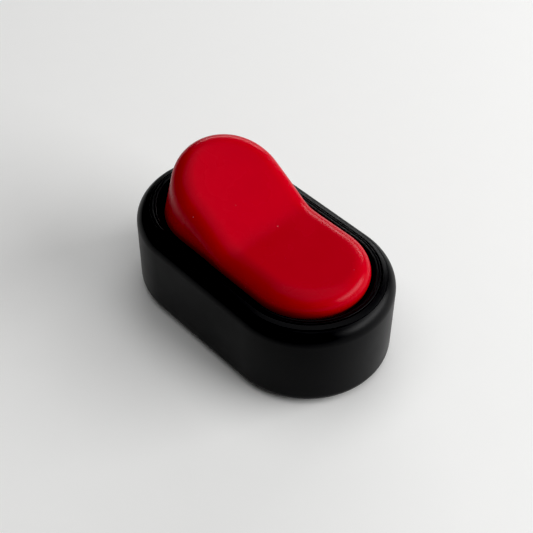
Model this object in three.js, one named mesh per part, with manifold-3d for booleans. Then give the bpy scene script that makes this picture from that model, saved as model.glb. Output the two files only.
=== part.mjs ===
// A hand-held quiz buzzer: a wave-shaped rocker cap in an oblong case, with its switch, sounder and battery
// compartment inside. Millimetres, +Z up. The origin is at the middle of the footprint, on the surface that the
// feet stand on. X runs along the case: the raised end of the cap is at -X, and pressing it tips the cap.
import * as THREE from "three";
import { mergeVertices } from "three/addons/utils/BufferGeometryUtils.js";
import Module from "manifold-3d";

const wasm = await Module();
wasm.setup();

// ---- driving dimensions ------------------------------------------------------------------------------------
const caseHalfWidth = 21.5; // the outline is two half circles of this radius...
const caseHalfStraight = 16.3; // ...whose centres lie this far from the middle
const caseHeight = 24.7; // from the case's underside to its rim
const caseWall = 2.2;
const shoulderRadius = 4.5; // round-over from the side wall to the rim
const footRadius = 3; // round-over at the underside
const footProud = 0.4; // the rubber pads stand this far below the case

const ringInset = 3.7; // outer edge of the rim ring, measured in from the outline
const ringWidth = 1.7;
const ringThick = 1.8;
const ringSeam = 0.1; // gap round the ring
const seatThick = 1.4; // shelf that carries the ring

const capGap = 0.7; // between the rim ring and the sides of the cap
const capEndGap = 2.3; // the cap is this much shorter than the opening at each end
const capWall = 2;
const capEdge = 5.5; // round-over of the cap's top edge
const valleyHeight = 7.55; // top of the cap's valley above the pivot
const lobeSlope = 17.5; // degrees, each lobe against the cap's own plane
const valleyBlend = 0.95; // softness of the valley
const highLobeCrown = 0.0033; // fall per square millimetre along the raised lobe
const restTilt = 16.5; // degrees: the -X end is up at rest
const pressTravel = 24; // degrees that the cap tips when it is pressed
const pinHeadroom = 0.15; // between the pin and the rim ring that keeps it in
const skirtHidden = 1.2; // the skirt always reaches at least this far below the rim

const pinRadius = 1.25;
const pinEngage = 1.6; // length of pin in each bearing
const bearingSide = 1.75; // plastic on each side of the pin in its bearing
const bearingFoot = 2.75; // plastic under it
const lugWall = 2.05; // plastic round the pin in each of the cap's lugs
const lugLength = 2.4; // of each lug inside the cap's wall
const runningGap = 0.1;
const gap = 0.3; // general clearance between pieces
const thin = 0.1; // clearance of a close, fixed fit
const easy = 0.2; // clearance round a part that is put in by hand
const sink = 0.5; // how deep one solid is set into another before the two are joined
const past = 1; // how far a cutting solid runs past the face that it cuts

const plateThick = 3;
const doorThick = 1.6;
const doorLap = 1.3; // how far the door laps the compartment's edge
const cellRadius = 5.25; // AAA cell
const cellLength = 44.5;
const cellNub = 1;
const cellNubRadius = 1.9;
const cellGap = 0.3;
const springRoom = 2.8; // length of a battery spring in place
const metalThick = 0.4;
const boxWall = 1.1;
const cellHeadroom = 0.35; // between the cells and the compartment's roof
const roofThick = 1.5;

const boardThick = 1.6;
const boardLift = 1.2; // stand-offs under the circuit board
const boardHalfLength = 18;
const boardHalfWidth = 11;
const sounderRadius = 6;
const sounderHeight = 8;

const screwShank = 1;
const screwHead = 1.9;
const screwHeadThick = 1.2;
const screwX = 13;
const bossInset = 3.1; // screw bosses, measured in from the ring's outer edge
const bossHeight = 10;
const footPadRadius = 2.4;
const footPadThick = 1.2;
const footPadMargin = 0.6; // from a pad to the edge of the base plate
const padBevel = 0.25; // round the foot of each pad

// ---- derived places ----------------------------------------------------------------------------------------
const pivotDrop = ringThick + pinHeadroom + pinRadius; // pivot axis below the rim
const pivotZ = caseHeight - pivotDrop;
const capHalfStraight = caseHalfStraight - capEndGap;
const capHalfWidth = caseHalfWidth - ringInset - ringWidth - capGap;
const capHalfLength = capHalfStraight + capHalfWidth;
const ringSeatZ = caseHeight - ringThick;
const apertureInset = ringInset + ringWidth + ringSeam;
const tilt = THREE.MathUtils.degToRad(restTilt);
const pressedTilt = THREE.MathUtils.degToRad(pressTravel - restTilt);

const cellY = cellRadius + cellGap / 2;
const cellZ = doorThick + gap + cellRadius;
const boxInnerY = cellY + cellRadius + easy;
const cellSpan = cellLength + springRoom + 2 * thin; // cell, spring and a hair's gap at each end
const contactX = cellSpan / 2; // inner face of the end contacts
const boxInnerX = contactX + metalThick + thin / 2;
const roofUnder = cellZ + cellRadius + cellHeadroom;
const roofTop = roofUnder + roofThick;
const boardZ = roofTop + boardLift;
const boardTop = boardZ + boardThick;
const lugRadius = pinRadius + lugWall;
const lugInner = capHalfWidth - capWall - lugLength;
const pinHalfLength = caseHalfWidth - apertureInset + pinEngage;

// ---- geometry helpers --------------------------------------------------------------------------------------
const arcSteps = 18; // facets in each half circle of the outline

// A solid made from a closed three.js geometry.
function solid(geometry) {
  const bare = geometry.clone();
  for (const name of Object.keys(bare.attributes)) if (name !== "position") bare.deleteAttribute(name);
  const merged = mergeVertices(bare.index ? bare.toNonIndexed() : bare, 1e-4);
  return new wasm.Manifold(
    new wasm.Mesh({
      numProp: 3,
      vertProperties: merged.attributes.position.array,
      triVerts: new Uint32Array(merged.index.array),
    }),
  );
}

// A three.js geometry made from a solid.
function geometryOf(body) {
  const mesh = body.getMesh();
  const geometry = new THREE.BufferGeometry();
  geometry.setAttribute("position", new THREE.BufferAttribute(new Float32Array(mesh.vertProperties), 3));
  geometry.setIndex(Array.from(mesh.triVerts));
  const flat = geometry.toNonIndexed();
  flat.computeVertexNormals();
  return flat;
}

const join = (...solids) => solids.reduce((a, b) => a.add(b));
const cut = (body, ...tools) => tools.reduce((a, b) => a.subtract(b), body);

function box(x0, x1, y0, y1, z0, z1) {
  const geometry = new THREE.BoxGeometry(x1 - x0, y1 - y0, z1 - z0);
  geometry.translate((x0 + x1) / 2, (y0 + y1) / 2, (z0 + z1) / 2);
  return solid(geometry);
}

// A cylinder along Z, or a cone where the two radii differ.
function rod(x, y, z0, z1, radius, sides = 20, topRadius = radius) {
  const geometry = new THREE.CylinderGeometry(topRadius, radius, z1 - z0, sides);
  geometry.rotateX(Math.PI / 2);
  geometry.translate(x, y, (z0 + z1) / 2);
  return solid(geometry);
}

// A cylinder along Y.
function crossRod(x, y0, y1, z, radius, sides = 20) {
  const geometry = new THREE.CylinderGeometry(radius, radius, y1 - y0, sides);
  geometry.translate(x, (y0 + y1) / 2, z);
  return solid(geometry);
}

// A solid of revolution about a vertical axis, from its outline as [radius, z] pairs.
function turned(points, sides = 24) {
  const geometry = new THREE.LatheGeometry(points.map(([r, z]) => new THREE.Vector2(r, z)), sides);
  geometry.rotateX(Math.PI / 2);
  return geometry;
}

// The oblong outline: two half circles of a radius about (+-halfStraight, 0).
function oblong(halfStraight, radius) {
  const points = [];
  for (const side of [1, -1])
    for (let i = 0; i <= arcSteps; i++) {
      const angle = side * (-Math.PI / 2) + (Math.PI * i) / arcSteps;
      points.push([side * halfStraight + radius * Math.cos(angle), radius * Math.sin(angle)]);
    }
  return points;
}

// An oblong plate between two heights.
function oblongPlate(halfStraight, radius, z0, z1) {
  const shape = new THREE.Shape(oblong(halfStraight, radius).map(([x, y]) => new THREE.Vector2(x, y)));
  const geometry = new THREE.ExtrudeGeometry(shape, { depth: z1 - z0, bevelEnabled: false });
  geometry.translate(0, 0, z0);
  return solid(geometry);
}

// Rings of points joined side by side into quads; closed says that the last ring joins the first.
function loft(rings, closed) {
  const positions = [];
  const count = rings[0].length;
  const last = closed ? rings.length : rings.length - 1;
  for (let r = 0; r < last; r++)
    for (let i = 0; i < count; i++) {
      const a = rings[r][i];
      const b = rings[r][(i + 1) % count];
      const c = rings[(r + 1) % rings.length][(i + 1) % count];
      const d = rings[(r + 1) % rings.length][i];
      positions.push(...a, ...b, ...c, ...a, ...c, ...d);
    }
  return positions;
}

function fromPositions(positions) {
  const geometry = new THREE.BufferGeometry();
  geometry.setAttribute("position", new THREE.Float32BufferAttribute(positions, 3));
  return geometry;
}

// A closed [inset, z] profile swept round the case's outline, with the profile's inside on its left.
function swept(profile) {
  const rings = profile.map(([inset, z]) =>
    oblong(caseHalfStraight, caseHalfWidth - inset).map(([x, y]) => [x, y, z]),
  );
  return solid(fromPositions(loft(rings, true)));
}

// Points of a quarter round from one angle to another, as [inset, z].
function arc(inset, z, radius, from, to, steps) {
  return Array.from({ length: steps + 1 }, (_, i) => {
    const angle = THREE.MathUtils.degToRad(from + ((to - from) * i) / steps);
    return [inset - radius * Math.cos(angle), z + radius * Math.sin(angle)];
  });
}

// A wire bent along a helix whose radius runs evenly from one value to another.
function coil(x, y, z0, z1, radius0, radius1, wire, turns, steps, sides) {
  const bottom = z0 + wire;
  const top = z1 - wire;
  const path = new THREE.CatmullRomCurve3(
    Array.from({ length: steps + 1 }, (_, i) => {
      const t = i / steps;
      const angle = 2 * Math.PI * turns * t;
      const radius = radius0 + (radius1 - radius0) * t;
      return new THREE.Vector3(x + radius * Math.cos(angle), y + radius * Math.sin(angle), bottom + (top - bottom) * t);
    }),
  );
  const section = new THREE.Shape(
    Array.from({ length: sides }, (_, i) => {
      const angle = (2 * Math.PI * i) / sides;
      return new THREE.Vector2(wire * Math.cos(angle), wire * Math.sin(angle));
    }),
  );
  return new THREE.ExtrudeGeometry(section, { steps, extrudePath: path, bevelEnabled: false });
}

// ---- materials ---------------------------------------------------------------------------------------------
const material = (color, roughness, metalness = 0) =>
  new THREE.MeshStandardMaterial({ color, roughness, metalness });
const blackPlastic = material(0x131314, 0.45);
const redPlastic = material(0xc00c1e, 0.4);
const steel = material(0xb9bcc0, 0.3, 1);
const brassMetal = material(0xc9a24a, 0.3, 1);
const rubber = material(0x1c1c1d, 0.9);
const boardGreen = material(0x1d5a36, 0.5);
const epoxyBlack = material(0x17181a, 0.5);
const ceramicTan = material(0xc8a878, 0.6);
const sleeveBlue = material(0x24406e, 0.4);
const cellWrap = material(0x6a6f75, 0.35);

const buzzer = new THREE.Group();
buzzer.position.z = footProud;
const rocker = new THREE.Group();
rocker.position.z = pivotZ;
rocker.rotation.y = tilt;
buzzer.add(rocker);

function piece(name, shape, look, group = buzzer) {
  const mesh = new THREE.Mesh(shape.isBufferGeometry ? shape : geometryOf(shape), look);
  mesh.name = name;
  group.add(mesh);
}

// ---- case --------------------------------------------------------------------------------------------------
const bossY = caseHalfWidth - ringInset - bossInset;
const bossRadius = 2.3;
const bossTop = plateThick + bossHeight;
const lipChamfer = 1.5;
const ribHalf = 0.8;

function caseShell() {
  const lipTop = plateThick;
  const profile = [
    ...arc(footRadius, footRadius, footRadius, -90, 0, 4),
    ...arc(shoulderRadius, caseHeight - shoulderRadius, shoulderRadius, 0, 80, 7).filter(([i]) => i < ringInset),
    [ringInset, caseHeight],
    [ringInset, ringSeatZ],
    [apertureInset, ringSeatZ],
    [apertureInset, ringSeatZ - seatThick],
    [caseWall, ringSeatZ - seatThick - (apertureInset - caseWall)],
    [caseWall, lipTop + lipChamfer],
    [ringInset, lipTop],
    [ringInset, 0],
  ];
  let shell = swept(profile);
  const innerY = caseHalfWidth - caseWall;
  const bearingDepth = pinRadius + bearingFoot;
  const bearingHalf = pinRadius + bearingSide;
  const wallCore = innerY + 0.3; // inside the wall, where the blocks and ribs end
  const apertureY = caseHalfWidth - apertureInset;
  const slotHalf = pinRadius + runningGap;
  for (const side of [1, -1]) {
    const span = (near, far) => (side > 0 ? [near, far] : [-far, -near]);
    const [blockLow, blockHigh] = span(apertureY, wallCore);
    const block = box(-bearingHalf, bearingHalf, blockLow, blockHigh, pivotZ - bearingDepth, ringSeatZ);
    const [slotLow, slotHigh] = span(apertureY - sink, pinHalfLength + easy);
    const slot = join(
      box(-slotHalf, slotHalf, slotLow, slotHigh, pivotZ, ringSeatZ + past),
      crossRod(0, slotLow, slotHigh, pivotZ, slotHalf),
    );
    shell = cut(join(shell, block), slot);
    for (const end of [1, -1]) {
      const x = end * screwX;
      const [ribLow, ribHigh] = span(bossY + bossRadius / 2, wallCore);
      const boss = join(
        rod(x, side * bossY, plateThick, bossTop, bossRadius),
        box(x - ribHalf, x + ribHalf, ribLow, ribHigh, plateThick, bossTop),
      );
      const pilot = rod(x, side * bossY, plateThick - past, bossTop - 1.5, screwShank + thin);
      shell = cut(join(shell, boss), pilot);
    }
  }
  return shell;
}

function bezelRing() {
  const chamfer = 0.25;
  const outer = ringInset + ringSeam;
  const inner = ringInset + ringWidth;
  const top = caseHeight;
  return swept([
    [outer, ringSeatZ],
    [outer, top - chamfer],
    [outer + chamfer, top],
    [inner - chamfer, top],
    [inner, top - chamfer],
    [inner, ringSeatZ],
  ]);
}

piece("case_shell", caseShell(), blackPlastic);
piece("bezel_ring", bezelRing(), blackPlastic);

// ---- rocker ------------------------------------------------------------------------------------------------
// Height of the cap's top surface above the pivot, before the edge is rounded.
function capTop(x) {
  const slope = Math.tan(THREE.MathUtils.degToRad(lobeSlope));
  const softRamp = (q) => valleyBlend * Math.log1p(Math.exp(q / valleyBlend));
  const crown = x < 0 ? highLobeCrown * x * x : 0;
  return valleyHeight + slope * (softRamp(-x) + softRamp(x)) - crown;
}

// One skin of the cap, offset inwards, as a solid that is open to a flat bottom at the given height.
function capSkin(offset, bottom, edgeSteps) {
  const radius = capHalfWidth - offset;
  const edge = capEdge - offset;
  const lengthwise = [-0.75, -0.5, -0.3, -0.18, -0.08, 0, 0.08, 0.18, 0.3, 0.5, 0.75].map(
    (share) => share * capHalfStraight,
  );
  // The ring runs from the +X tip round the +Y side to the -X tip, and its mirror image brings it back.
  const side = (r) => {
    const points = [];
    for (let i = 0; i < arcSteps / 2; i++) {
      const angle = (Math.PI * i) / arcSteps;
      points.push([capHalfStraight + r * Math.cos(angle), r * Math.sin(angle)]);
    }
    for (const x of [capHalfStraight, ...lengthwise.slice().reverse(), -capHalfStraight]) points.push([x, r]);
    for (let i = 1; i <= arcSteps / 2; i++) {
      const angle = Math.PI / 2 + (Math.PI * i) / arcSteps;
      points.push([-capHalfStraight + r * Math.cos(angle), r * Math.sin(angle)]);
    }
    return points;
  };
  const ring = (r, height) => {
    const far = side(r);
    const near = far.slice(1, -1).reverse().map(([x, y]) => [x, -y]);
    return [...far, ...near].map(([x, y]) => [x, y, height(x)]);
  };
  const rings = [ring(radius, () => bottom)];
  for (let k = 0; k <= edgeSteps; k++) {
    const angle = (Math.PI / 2) * (k / edgeSteps);
    const inset = edge * (1 - Math.cos(angle));
    const drop = edge * (1 - Math.sin(angle));
    rings.push(ring(radius - inset, (x) => capTop(x) - offset - drop));
  }
  const positions = loft(rings, false);
  const half = side(radius).length;
  const cap = (points, up) => {
    // rungs across the ring, from each point to its mirror image
    for (let i = 0; i < half - 1; i++) {
      const a = points[i];
      const b = points[i + 1];
      const c = points[(points.length - i - 1) % points.length];
      const d = points[(points.length - i) % points.length];
      const quad = i === 0 ? [[a, b, c]] : i === half - 2 ? [[a, b, d]] : [[a, b, c], [a, c, d]];
      for (const [p, q, r] of quad) positions.push(...(up ? [...p, ...q, ...r] : [...p, ...r, ...q]));
    }
  };
  cap(rings[rings.length - 1], true);
  cap(rings[0], false);
  return solid(fromPositions(positions));
}

// Lowest height of the skirt at a place along the cap, so that it stays below the rim in both end positions.
function skirtBottom(x) {
  const angle = x < 0 ? tilt : pressedTilt;
  return (pivotDrop - skirtHidden) / Math.cos(angle) - Math.abs(x) * Math.tan(angle);
}

const springX = -9;
const springFace = 4.5; // spring seat on the cap, above the pivot
const contactPostX = -15;
const fixedContactTop = boardTop + 2;
// Underside of the bridge, which stands a gap above the fixed contacts when the cap is pressed.
const bridgeUnder =
  (fixedContactTop + gap - pivotZ - contactPostX * Math.sin(pressedTilt)) / Math.cos(pressedTilt);
const bridgeThick = 0.5;
const bridgeHalfLength = 5.5;
const bridgeHalfWidth = 1.5;
const bridgeScrewRadius = 0.6;

function rockerCap() {
  const deep = -12;
  const reach = capHalfLength + 5;
  let cap = cut(capSkin(0, deep, 6), capSkin(capWall, deep - past, 4));
  const trim = new THREE.Shape([
    new THREE.Vector2(-reach, skirtBottom(-reach)),
    new THREE.Vector2(-reach, deep - 3),
    new THREE.Vector2(reach, deep - 3),
    new THREE.Vector2(reach, skirtBottom(reach)),
    new THREE.Vector2(0, skirtBottom(0)),
  ]);
  const trimBody = new THREE.ExtrudeGeometry(trim, { depth: 4 * capHalfWidth, bevelEnabled: false });
  trimBody.rotateX(Math.PI / 2);
  trimBody.translate(0, 2 * capHalfWidth, 0);
  cap = cut(cap, solid(trimBody));
  for (const side of [1, -1]) {
    const low = side > 0 ? lugInner : -capHalfWidth;
    const high = side > 0 ? capHalfWidth : -lugInner;
    cap = join(cap, crossRod(0, low, high, 0, lugRadius));
  }
  cap = cut(cap, crossRod(0, -capHalfWidth - past, capHalfWidth + past, 0, pinRadius + runningGap));
  const springBoss = join(
    rod(springX, 0, springFace, capTop(springX) - capWall + sink, 4),
    rod(springX, 0, springFace - 2, springFace + sink, 1.5, 16),
  );
  const postEnd = bridgeUnder + bridgeThick + gap;
  const post = cut(
    rod(contactPostX, 0, postEnd, capTop(contactPostX) - capWall + sink, 2.2, 16),
    rod(contactPostX, 0, postEnd - past, postEnd + 4, bridgeScrewRadius + gap, 16),
  );
  return join(cap, springBoss, post);
}

piece("rocker_cap", rockerCap(), redPlastic, rocker);
const bridge = cut(
  box(
    contactPostX - bridgeHalfWidth, contactPostX + bridgeHalfWidth,
    -bridgeHalfLength, bridgeHalfLength, bridgeUnder, bridgeUnder + bridgeThick,
  ),
  rod(contactPostX, 0, bridgeUnder - past, bridgeUnder + bridgeThick + past, bridgeScrewRadius + gap, 16),
);
piece("contact_bridge", bridge, brassMetal, rocker);
const bridgeHeadZ = bridgeUnder - gap;
const bridgeScrew = join(
  rod(contactPostX, 0, bridgeHeadZ - 0.6, bridgeHeadZ, 1.4, 16),
  rod(contactPostX, 0, bridgeHeadZ - 0.1, bridgeUnder + bridgeThick + gap + 3, bridgeScrewRadius, 16),
);
piece("bridge_screw", bridgeScrew, steel, rocker);

const pin = crossRod(0, -pinHalfLength, pinHalfLength, pivotZ, pinRadius);
piece("pivot_pin", pin, steel);

// ---- base plate and battery compartment --------------------------------------------------------------------
const plateRadius = caseHalfWidth - ringInset - 0.15;
const doorHalfX = boxInnerX + doorLap;
const doorHalfY = boxInnerY + doorLap;
const tongueEnd = doorHalfX + 4.8; // the door's screw tongue
const tongueHalfY = 3.2;
const doorScrewX = doorHalfX + 2.1;
const padY = 6.2;
const padX = caseHalfStraight + Math.sqrt((plateRadius - footPadRadius - footPadMargin) ** 2 - padY ** 2);
const padRecess = footPadThick - footProud;
const tabY = 6;
const tabHalf = 2;
const tabThick = 0.7;
const tabReach = 1.1;
const springSeatX = springX + 0.6;
const springSeatTop = boardTop + 0.6;
const tailHalf = 0.8; // half the width of a battery contact's tail
const boardScrewX = 15.5;
const boardScrewY = 8.6;
const skirtCornerZ = (x, angle) => pivotZ - Math.abs(x) * Math.sin(angle) + skirtBottom(x) * Math.cos(angle);
const restStopTop = skirtCornerZ(capHalfLength, tilt) - gap;
const pressStopTop = skirtCornerZ(-capHalfLength, pressedTilt) - gap;
const boxCornerTop = Math.min(roofTop, restStopTop - 0.6); // the compartment's corners pass under the skirt

function basePlate() {
  const roofRadius = capHalfWidth - capWall - 1.4;
  const roofStraight = capHalfStraight - 1;
  let body = join(
    oblongPlate(caseHalfStraight, plateRadius, 0, plateThick),
    box(
      -boxInnerX - boxWall, boxInnerX + boxWall, -boxInnerY - boxWall, boxInnerY + boxWall,
      plateThick - sink, boxCornerTop,
    ),
    oblongPlate(roofStraight, roofRadius, plateThick - sink, roofTop),
    rod(doorScrewX, 0, plateThick - sink, restStopTop, 2.2),
    box(-capHalfLength, -boxInnerX - boxWall - 0.6, -2.5, 2.5, plateThick - sink, pressStopTop),
    rod(springSeatX, 0, roofTop - sink, springSeatTop, 4.6),
    rod(boardScrewX, -boardScrewY, roofTop - sink, boardZ, 2, 16),
    rod(-boardScrewX, boardScrewY, roofTop - sink, boardZ, 2, 16),
  );
  body = cut(
    body,
    box(-boxInnerX, boxInnerX, -boxInnerY, boxInnerY, -past, roofUnder),
    box(-doorHalfX - easy, doorHalfX + easy, -doorHalfY - easy, doorHalfY + easy, -past, doorThick),
    box(doorHalfX, tongueEnd + easy, -tongueHalfY - easy, tongueHalfY + easy, -past, doorThick),
    rod(doorScrewX, 0, -past, restStopTop - 2, screwShank + 0.45, 16),
    rod(boardScrewX, -boardScrewY, roofUnder + 0.6, boardZ + past, screwShank + thin, 16),
    rod(-boardScrewX, boardScrewY, roofUnder + 0.6, boardZ + past, screwShank + thin, 16),
  );
  for (const side of [1, -1]) {
    const tab = side * tabY;
    const tail = side * cellY;
    body = cut(
      body,
      box(
        contactX - gap, contactX + metalThick + gap, tail - tailHalf - gap, tail + tailHalf + gap,
        roofUnder - past, roofTop + past,
      ),
      box(
        -doorHalfX - gap - tabReach, -boxInnerX + thin, tab - tabHalf - easy, tab + tabHalf + easy,
        doorThick - thin - tabThick - 0.15, doorThick + tabThick + thin,
      ),
    );
    for (const end of [1, -1]) {
      body = cut(
        body,
        rod(end * screwX, side * bossY, -past, plateThick + past, screwShank + easy, 16),
        rod(end * screwX, side * bossY, -past, 1.7, screwHead + easy, 24),
        rod(end * padX, side * padY, -past, padRecess, footPadRadius + thin, 24),
      );
    }
  }
  return body;
}
piece("base_plate", basePlate(), blackPlastic);

function batteryDoor() {
  const inside = doorThick - thin;
  let door = join(
    box(-doorHalfX, doorHalfX, -doorHalfY, doorHalfY, 0, inside),
    box(doorHalfX - sink, tongueEnd, -tongueHalfY, tongueHalfY, 0, inside),
  );
  for (const side of [1, -1]) {
    const tab = side * tabY;
    door = join(
      door,
      box(-doorHalfX - tabReach, -doorHalfX + sink, tab - tabHalf, tab + tabHalf, inside - tabThick, inside),
    );
  }
  // finger grip: shallow grooves across the middle of the outside
  const gripPitch = 2.4;
  const gripHalfWidth = 0.5;
  const gripHalfLength = 7;
  for (let i = -3; i <= 3; i++) {
    const x = i * gripPitch;
    door = cut(door, box(x - gripHalfWidth, x + gripHalfWidth, -gripHalfLength, gripHalfLength, -past, 0.4));
  }
  return cut(
    door,
    rod(doorScrewX, 0, -past, doorThick + past, screwShank + easy, 16),
    rod(doorScrewX, 0, -past, 0.8, screwHead + thin, 24),
  );
}
piece("battery_door", batteryDoor(), blackPlastic);

// A pan-head screw, pointing up, with a cross recess in its head.
function screw(x, y, headZ, headThick, length, headRadius = screwHead, shank = screwShank) {
  const slot = headThick * 0.55;
  return cut(
    join(rod(x, y, headZ, headZ + headThick, headRadius - 0.3, 20, headRadius),
      rod(x, y, headZ + headThick - 0.1, headZ + headThick + length, shank, 14)),
    box(x - 1.2, x + 1.2, y - 0.22, y + 0.22, headZ - 1, headZ + slot),
    box(x - 0.22, x + 0.22, y - 1.2, y + 1.2, headZ - 1, headZ + slot),
  );
}

let screwNumber = 0;
let padNumber = 0;
for (const end of [1, -1])
  for (const side of [1, -1]) {
    screwNumber += 1;
    piece(`case_screw_${screwNumber}`, screw(end * screwX, side * bossY, 0.45, screwHeadThick, 8), steel);
    padNumber += 1;
    const pad = turned([
      [0, -footProud],
      [footPadRadius - padBevel, -footProud],
      [footPadRadius, padBevel - footProud],
      [footPadRadius, padRecess],
      [0, padRecess],
    ]);
    pad.translate(end * padX, side * padY, 0);
    piece(`foot_pad_${padNumber}`, pad, rubber);
  }
piece("battery_door_screw", screw(doorScrewX, 0, 0, 0.7, 5), steel);

// ---- battery cells and their contacts ----------------------------------------------------------------------
// A cell along X with its positive end towards the given side.
function cell(y, facing) {
  const body = cellLength - cellNub;
  const geometry = turned([
    [0, 0],
    [cellRadius - 0.4, 0],
    [cellRadius, 0.4],
    [cellRadius, body - 0.5],
    [cellRadius - 0.5, body],
    [cellNubRadius, body],
    [cellNubRadius, cellLength],
    [0, cellLength],
  ]);
  geometry.rotateY((facing * Math.PI) / 2);
  geometry.translate(facing * (contactX - 0.1 - cellLength), y, cellZ);
  return geometry;
}
piece("battery_cell_1", cell(cellY, 1), cellWrap);
piece("battery_cell_2", cell(-cellY, -1), cellWrap);

function endSpring(y, facing) {
  const geometry = coil(0, 0, 0.1, springRoom, 4, 2, 0.3, 3, 30, 6);
  geometry.rotateY((-facing * Math.PI) / 2);
  geometry.translate(facing * contactX, y, cellZ);
  return geometry;
}
piece("battery_spring_1", endSpring(cellY, -1), steel);
piece("battery_spring_2", endSpring(-cellY, 1), steel);

const contactLow = doorThick + 1;
const contactHigh = cellZ + 4.2;
const contactHalf = 3.6; // half the width of a battery contact
const plateX = [contactX, contactX + metalThick];
piece(
  "cell_bridge_contact",
  box(-plateX[1], -plateX[0], -cellY - contactHalf, cellY + contactHalf, contactLow, contactHigh),
  steel,
);

// An end contact whose tail runs over the compartment's roof and up through the circuit board.
const tailZ = roofTop + 0.35;
const tailX = boardHalfLength - 2;
function terminal(y) {
  return join(
    box(plateX[0], plateX[1], y - contactHalf, y + contactHalf, contactLow, contactHigh),
    box(plateX[0], plateX[1], y - tailHalf, y + tailHalf, contactHigh - 0.5, tailZ + metalThick),
    box(tailX, plateX[1], y - tailHalf, y + tailHalf, tailZ, tailZ + metalThick),
    box(tailX, tailX + metalThick, y - tailHalf, y + tailHalf, tailZ, boardTop + 1),
  );
}
piece("positive_terminal", terminal(cellY), brassMetal);
piece("negative_terminal", terminal(-cellY), brassMetal);

// ---- circuit board -----------------------------------------------------------------------------------------
const sounderX = 9;
const contactY = 4;
const transistorAt = [4.5, -8.6];
const resistorY = 8.8;
const resistorFrom = 3.5;
const resistorTo = 12.5;
const capacitorAt = [11, -8.5];
const leadRadius = 0.3;
const leadHole = 0.5;
const leadBelow = 0.5;

function leads(places, top) {
  return places.map(([x, y]) => rod(x, y, boardZ - leadBelow, top, leadRadius, 8));
}
const transistorLeads = [-1.27, 0, 1.27].map((dx) => [transistorAt[0] + dx, transistorAt[1]]);
const capacitorLeads = [-1, 1].map((dx) => [capacitorAt[0] + dx, capacitorAt[1]]);
const resistorLeads = [resistorFrom, resistorTo].map((x) => [x, resistorY]);
const sounderLeads = [-3.2, 3.2].map((dx) => [sounderX + dx, 0]);

function circuitBoard() {
  const corner = 3;
  const shape = new THREE.Shape();
  const [w, h] = [boardHalfLength, boardHalfWidth];
  shape.moveTo(-w + corner, -h);
  shape.lineTo(w - corner, -h);
  shape.absarc(w - corner, -h + corner, corner, -Math.PI / 2, 0, false);
  shape.absarc(w - corner, h - corner, corner, 0, Math.PI / 2, false);
  shape.absarc(-w + corner, h - corner, corner, Math.PI / 2, Math.PI, false);
  shape.absarc(-w + corner, -h + corner, corner, Math.PI, 1.5 * Math.PI, false);
  const plate = new THREE.ExtrudeGeometry(shape, { depth: boardThick, bevelEnabled: false, curveSegments: 6 });
  plate.translate(0, 0, boardZ);
  const through = (x, y, radius, sides = 10) => rod(x, y, boardZ - 1, boardTop + 1, radius, sides);
  const slots = [cellY, -cellY].map((y) =>
    box(tailX - 0.2, tailX + metalThick + 0.2, y - tailHalf - 0.2, y + tailHalf + 0.2, boardZ - 1, boardTop + 1),
  );
  return cut(
    solid(plate),
    through(springSeatX, 0, 5, 28),
    through(boardScrewX, -boardScrewY, screwShank + 0.2, 16),
    through(-boardScrewX, boardScrewY, screwShank + 0.2, 16),
    ...[1, -1].map((side) => through(contactPostX, side * contactY, 0.75, 12)),
    ...[...transistorLeads, ...capacitorLeads, ...resistorLeads, ...sounderLeads].map(([x, y]) =>
      through(x, y, leadHole, 8),
    ),
    ...slots,
  );
}
piece("circuit_board", circuitBoard(), boardGreen);

for (const [number, side] of [[1, 1], [2, -1]]) {
  const y = side * contactY;
  const dome = turned([[0, 0], [1.6, 0], [1.6, 1.2], [1.1, 1.8], [0, 2]], 16);
  dome.translate(contactPostX, y, boardTop);
  const tail = rod(contactPostX, y, boardZ - leadBelow, boardTop + 0.2, 0.6, 12);
  piece(`fixed_contact_${number}`, join(solid(dome), tail), brassMetal);
}

function boardScrew(x, y) {
  const flipped = screw(0, 0, 0, 1.1, boardThick + 1.9, 1.7, screwShank - 0.1);
  const geometry = geometryOf(flipped);
  geometry.rotateX(Math.PI);
  geometry.translate(x, y, boardTop + 1.1);
  return geometry;
}
piece("board_screw_1", boardScrew(boardScrewX, -boardScrewY), steel);
piece("board_screw_2", boardScrew(-boardScrewX, boardScrewY), steel);

// Sounder: a can with a small sound hole in its top.
const sounder = cut(
  join(
    solid(
      turned([
        [0, boardTop], [sounderRadius, boardTop], [sounderRadius, boardTop + sounderHeight - 0.5],
        [sounderRadius - 0.5, boardTop + sounderHeight], [0, boardTop + sounderHeight],
      ], 32).translate(sounderX, 0, 0),
    ),
    ...leads(sounderLeads, boardTop + 0.5),
  ),
  rod(sounderX, 0, boardTop + sounderHeight - 1.5, boardTop + sounderHeight + 1, 1, 16),
);
piece("buzzer", sounder, epoxyBlack);

// Transistor: a half-round moulding on three leads.
const transistorBody = cut(
  rod(transistorAt[0], transistorAt[1], boardTop + 1.5, boardTop + 5.5, 2.3, 20),
  box(
    transistorAt[0] - 3, transistorAt[0] + 3, transistorAt[1] + 1.3, transistorAt[1] + 4,
    boardTop + 1, boardTop + 6,
  ),
);
piece("drive_transistor", join(transistorBody, ...leads(transistorLeads, boardTop + 1.8)), epoxyBlack);

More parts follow.
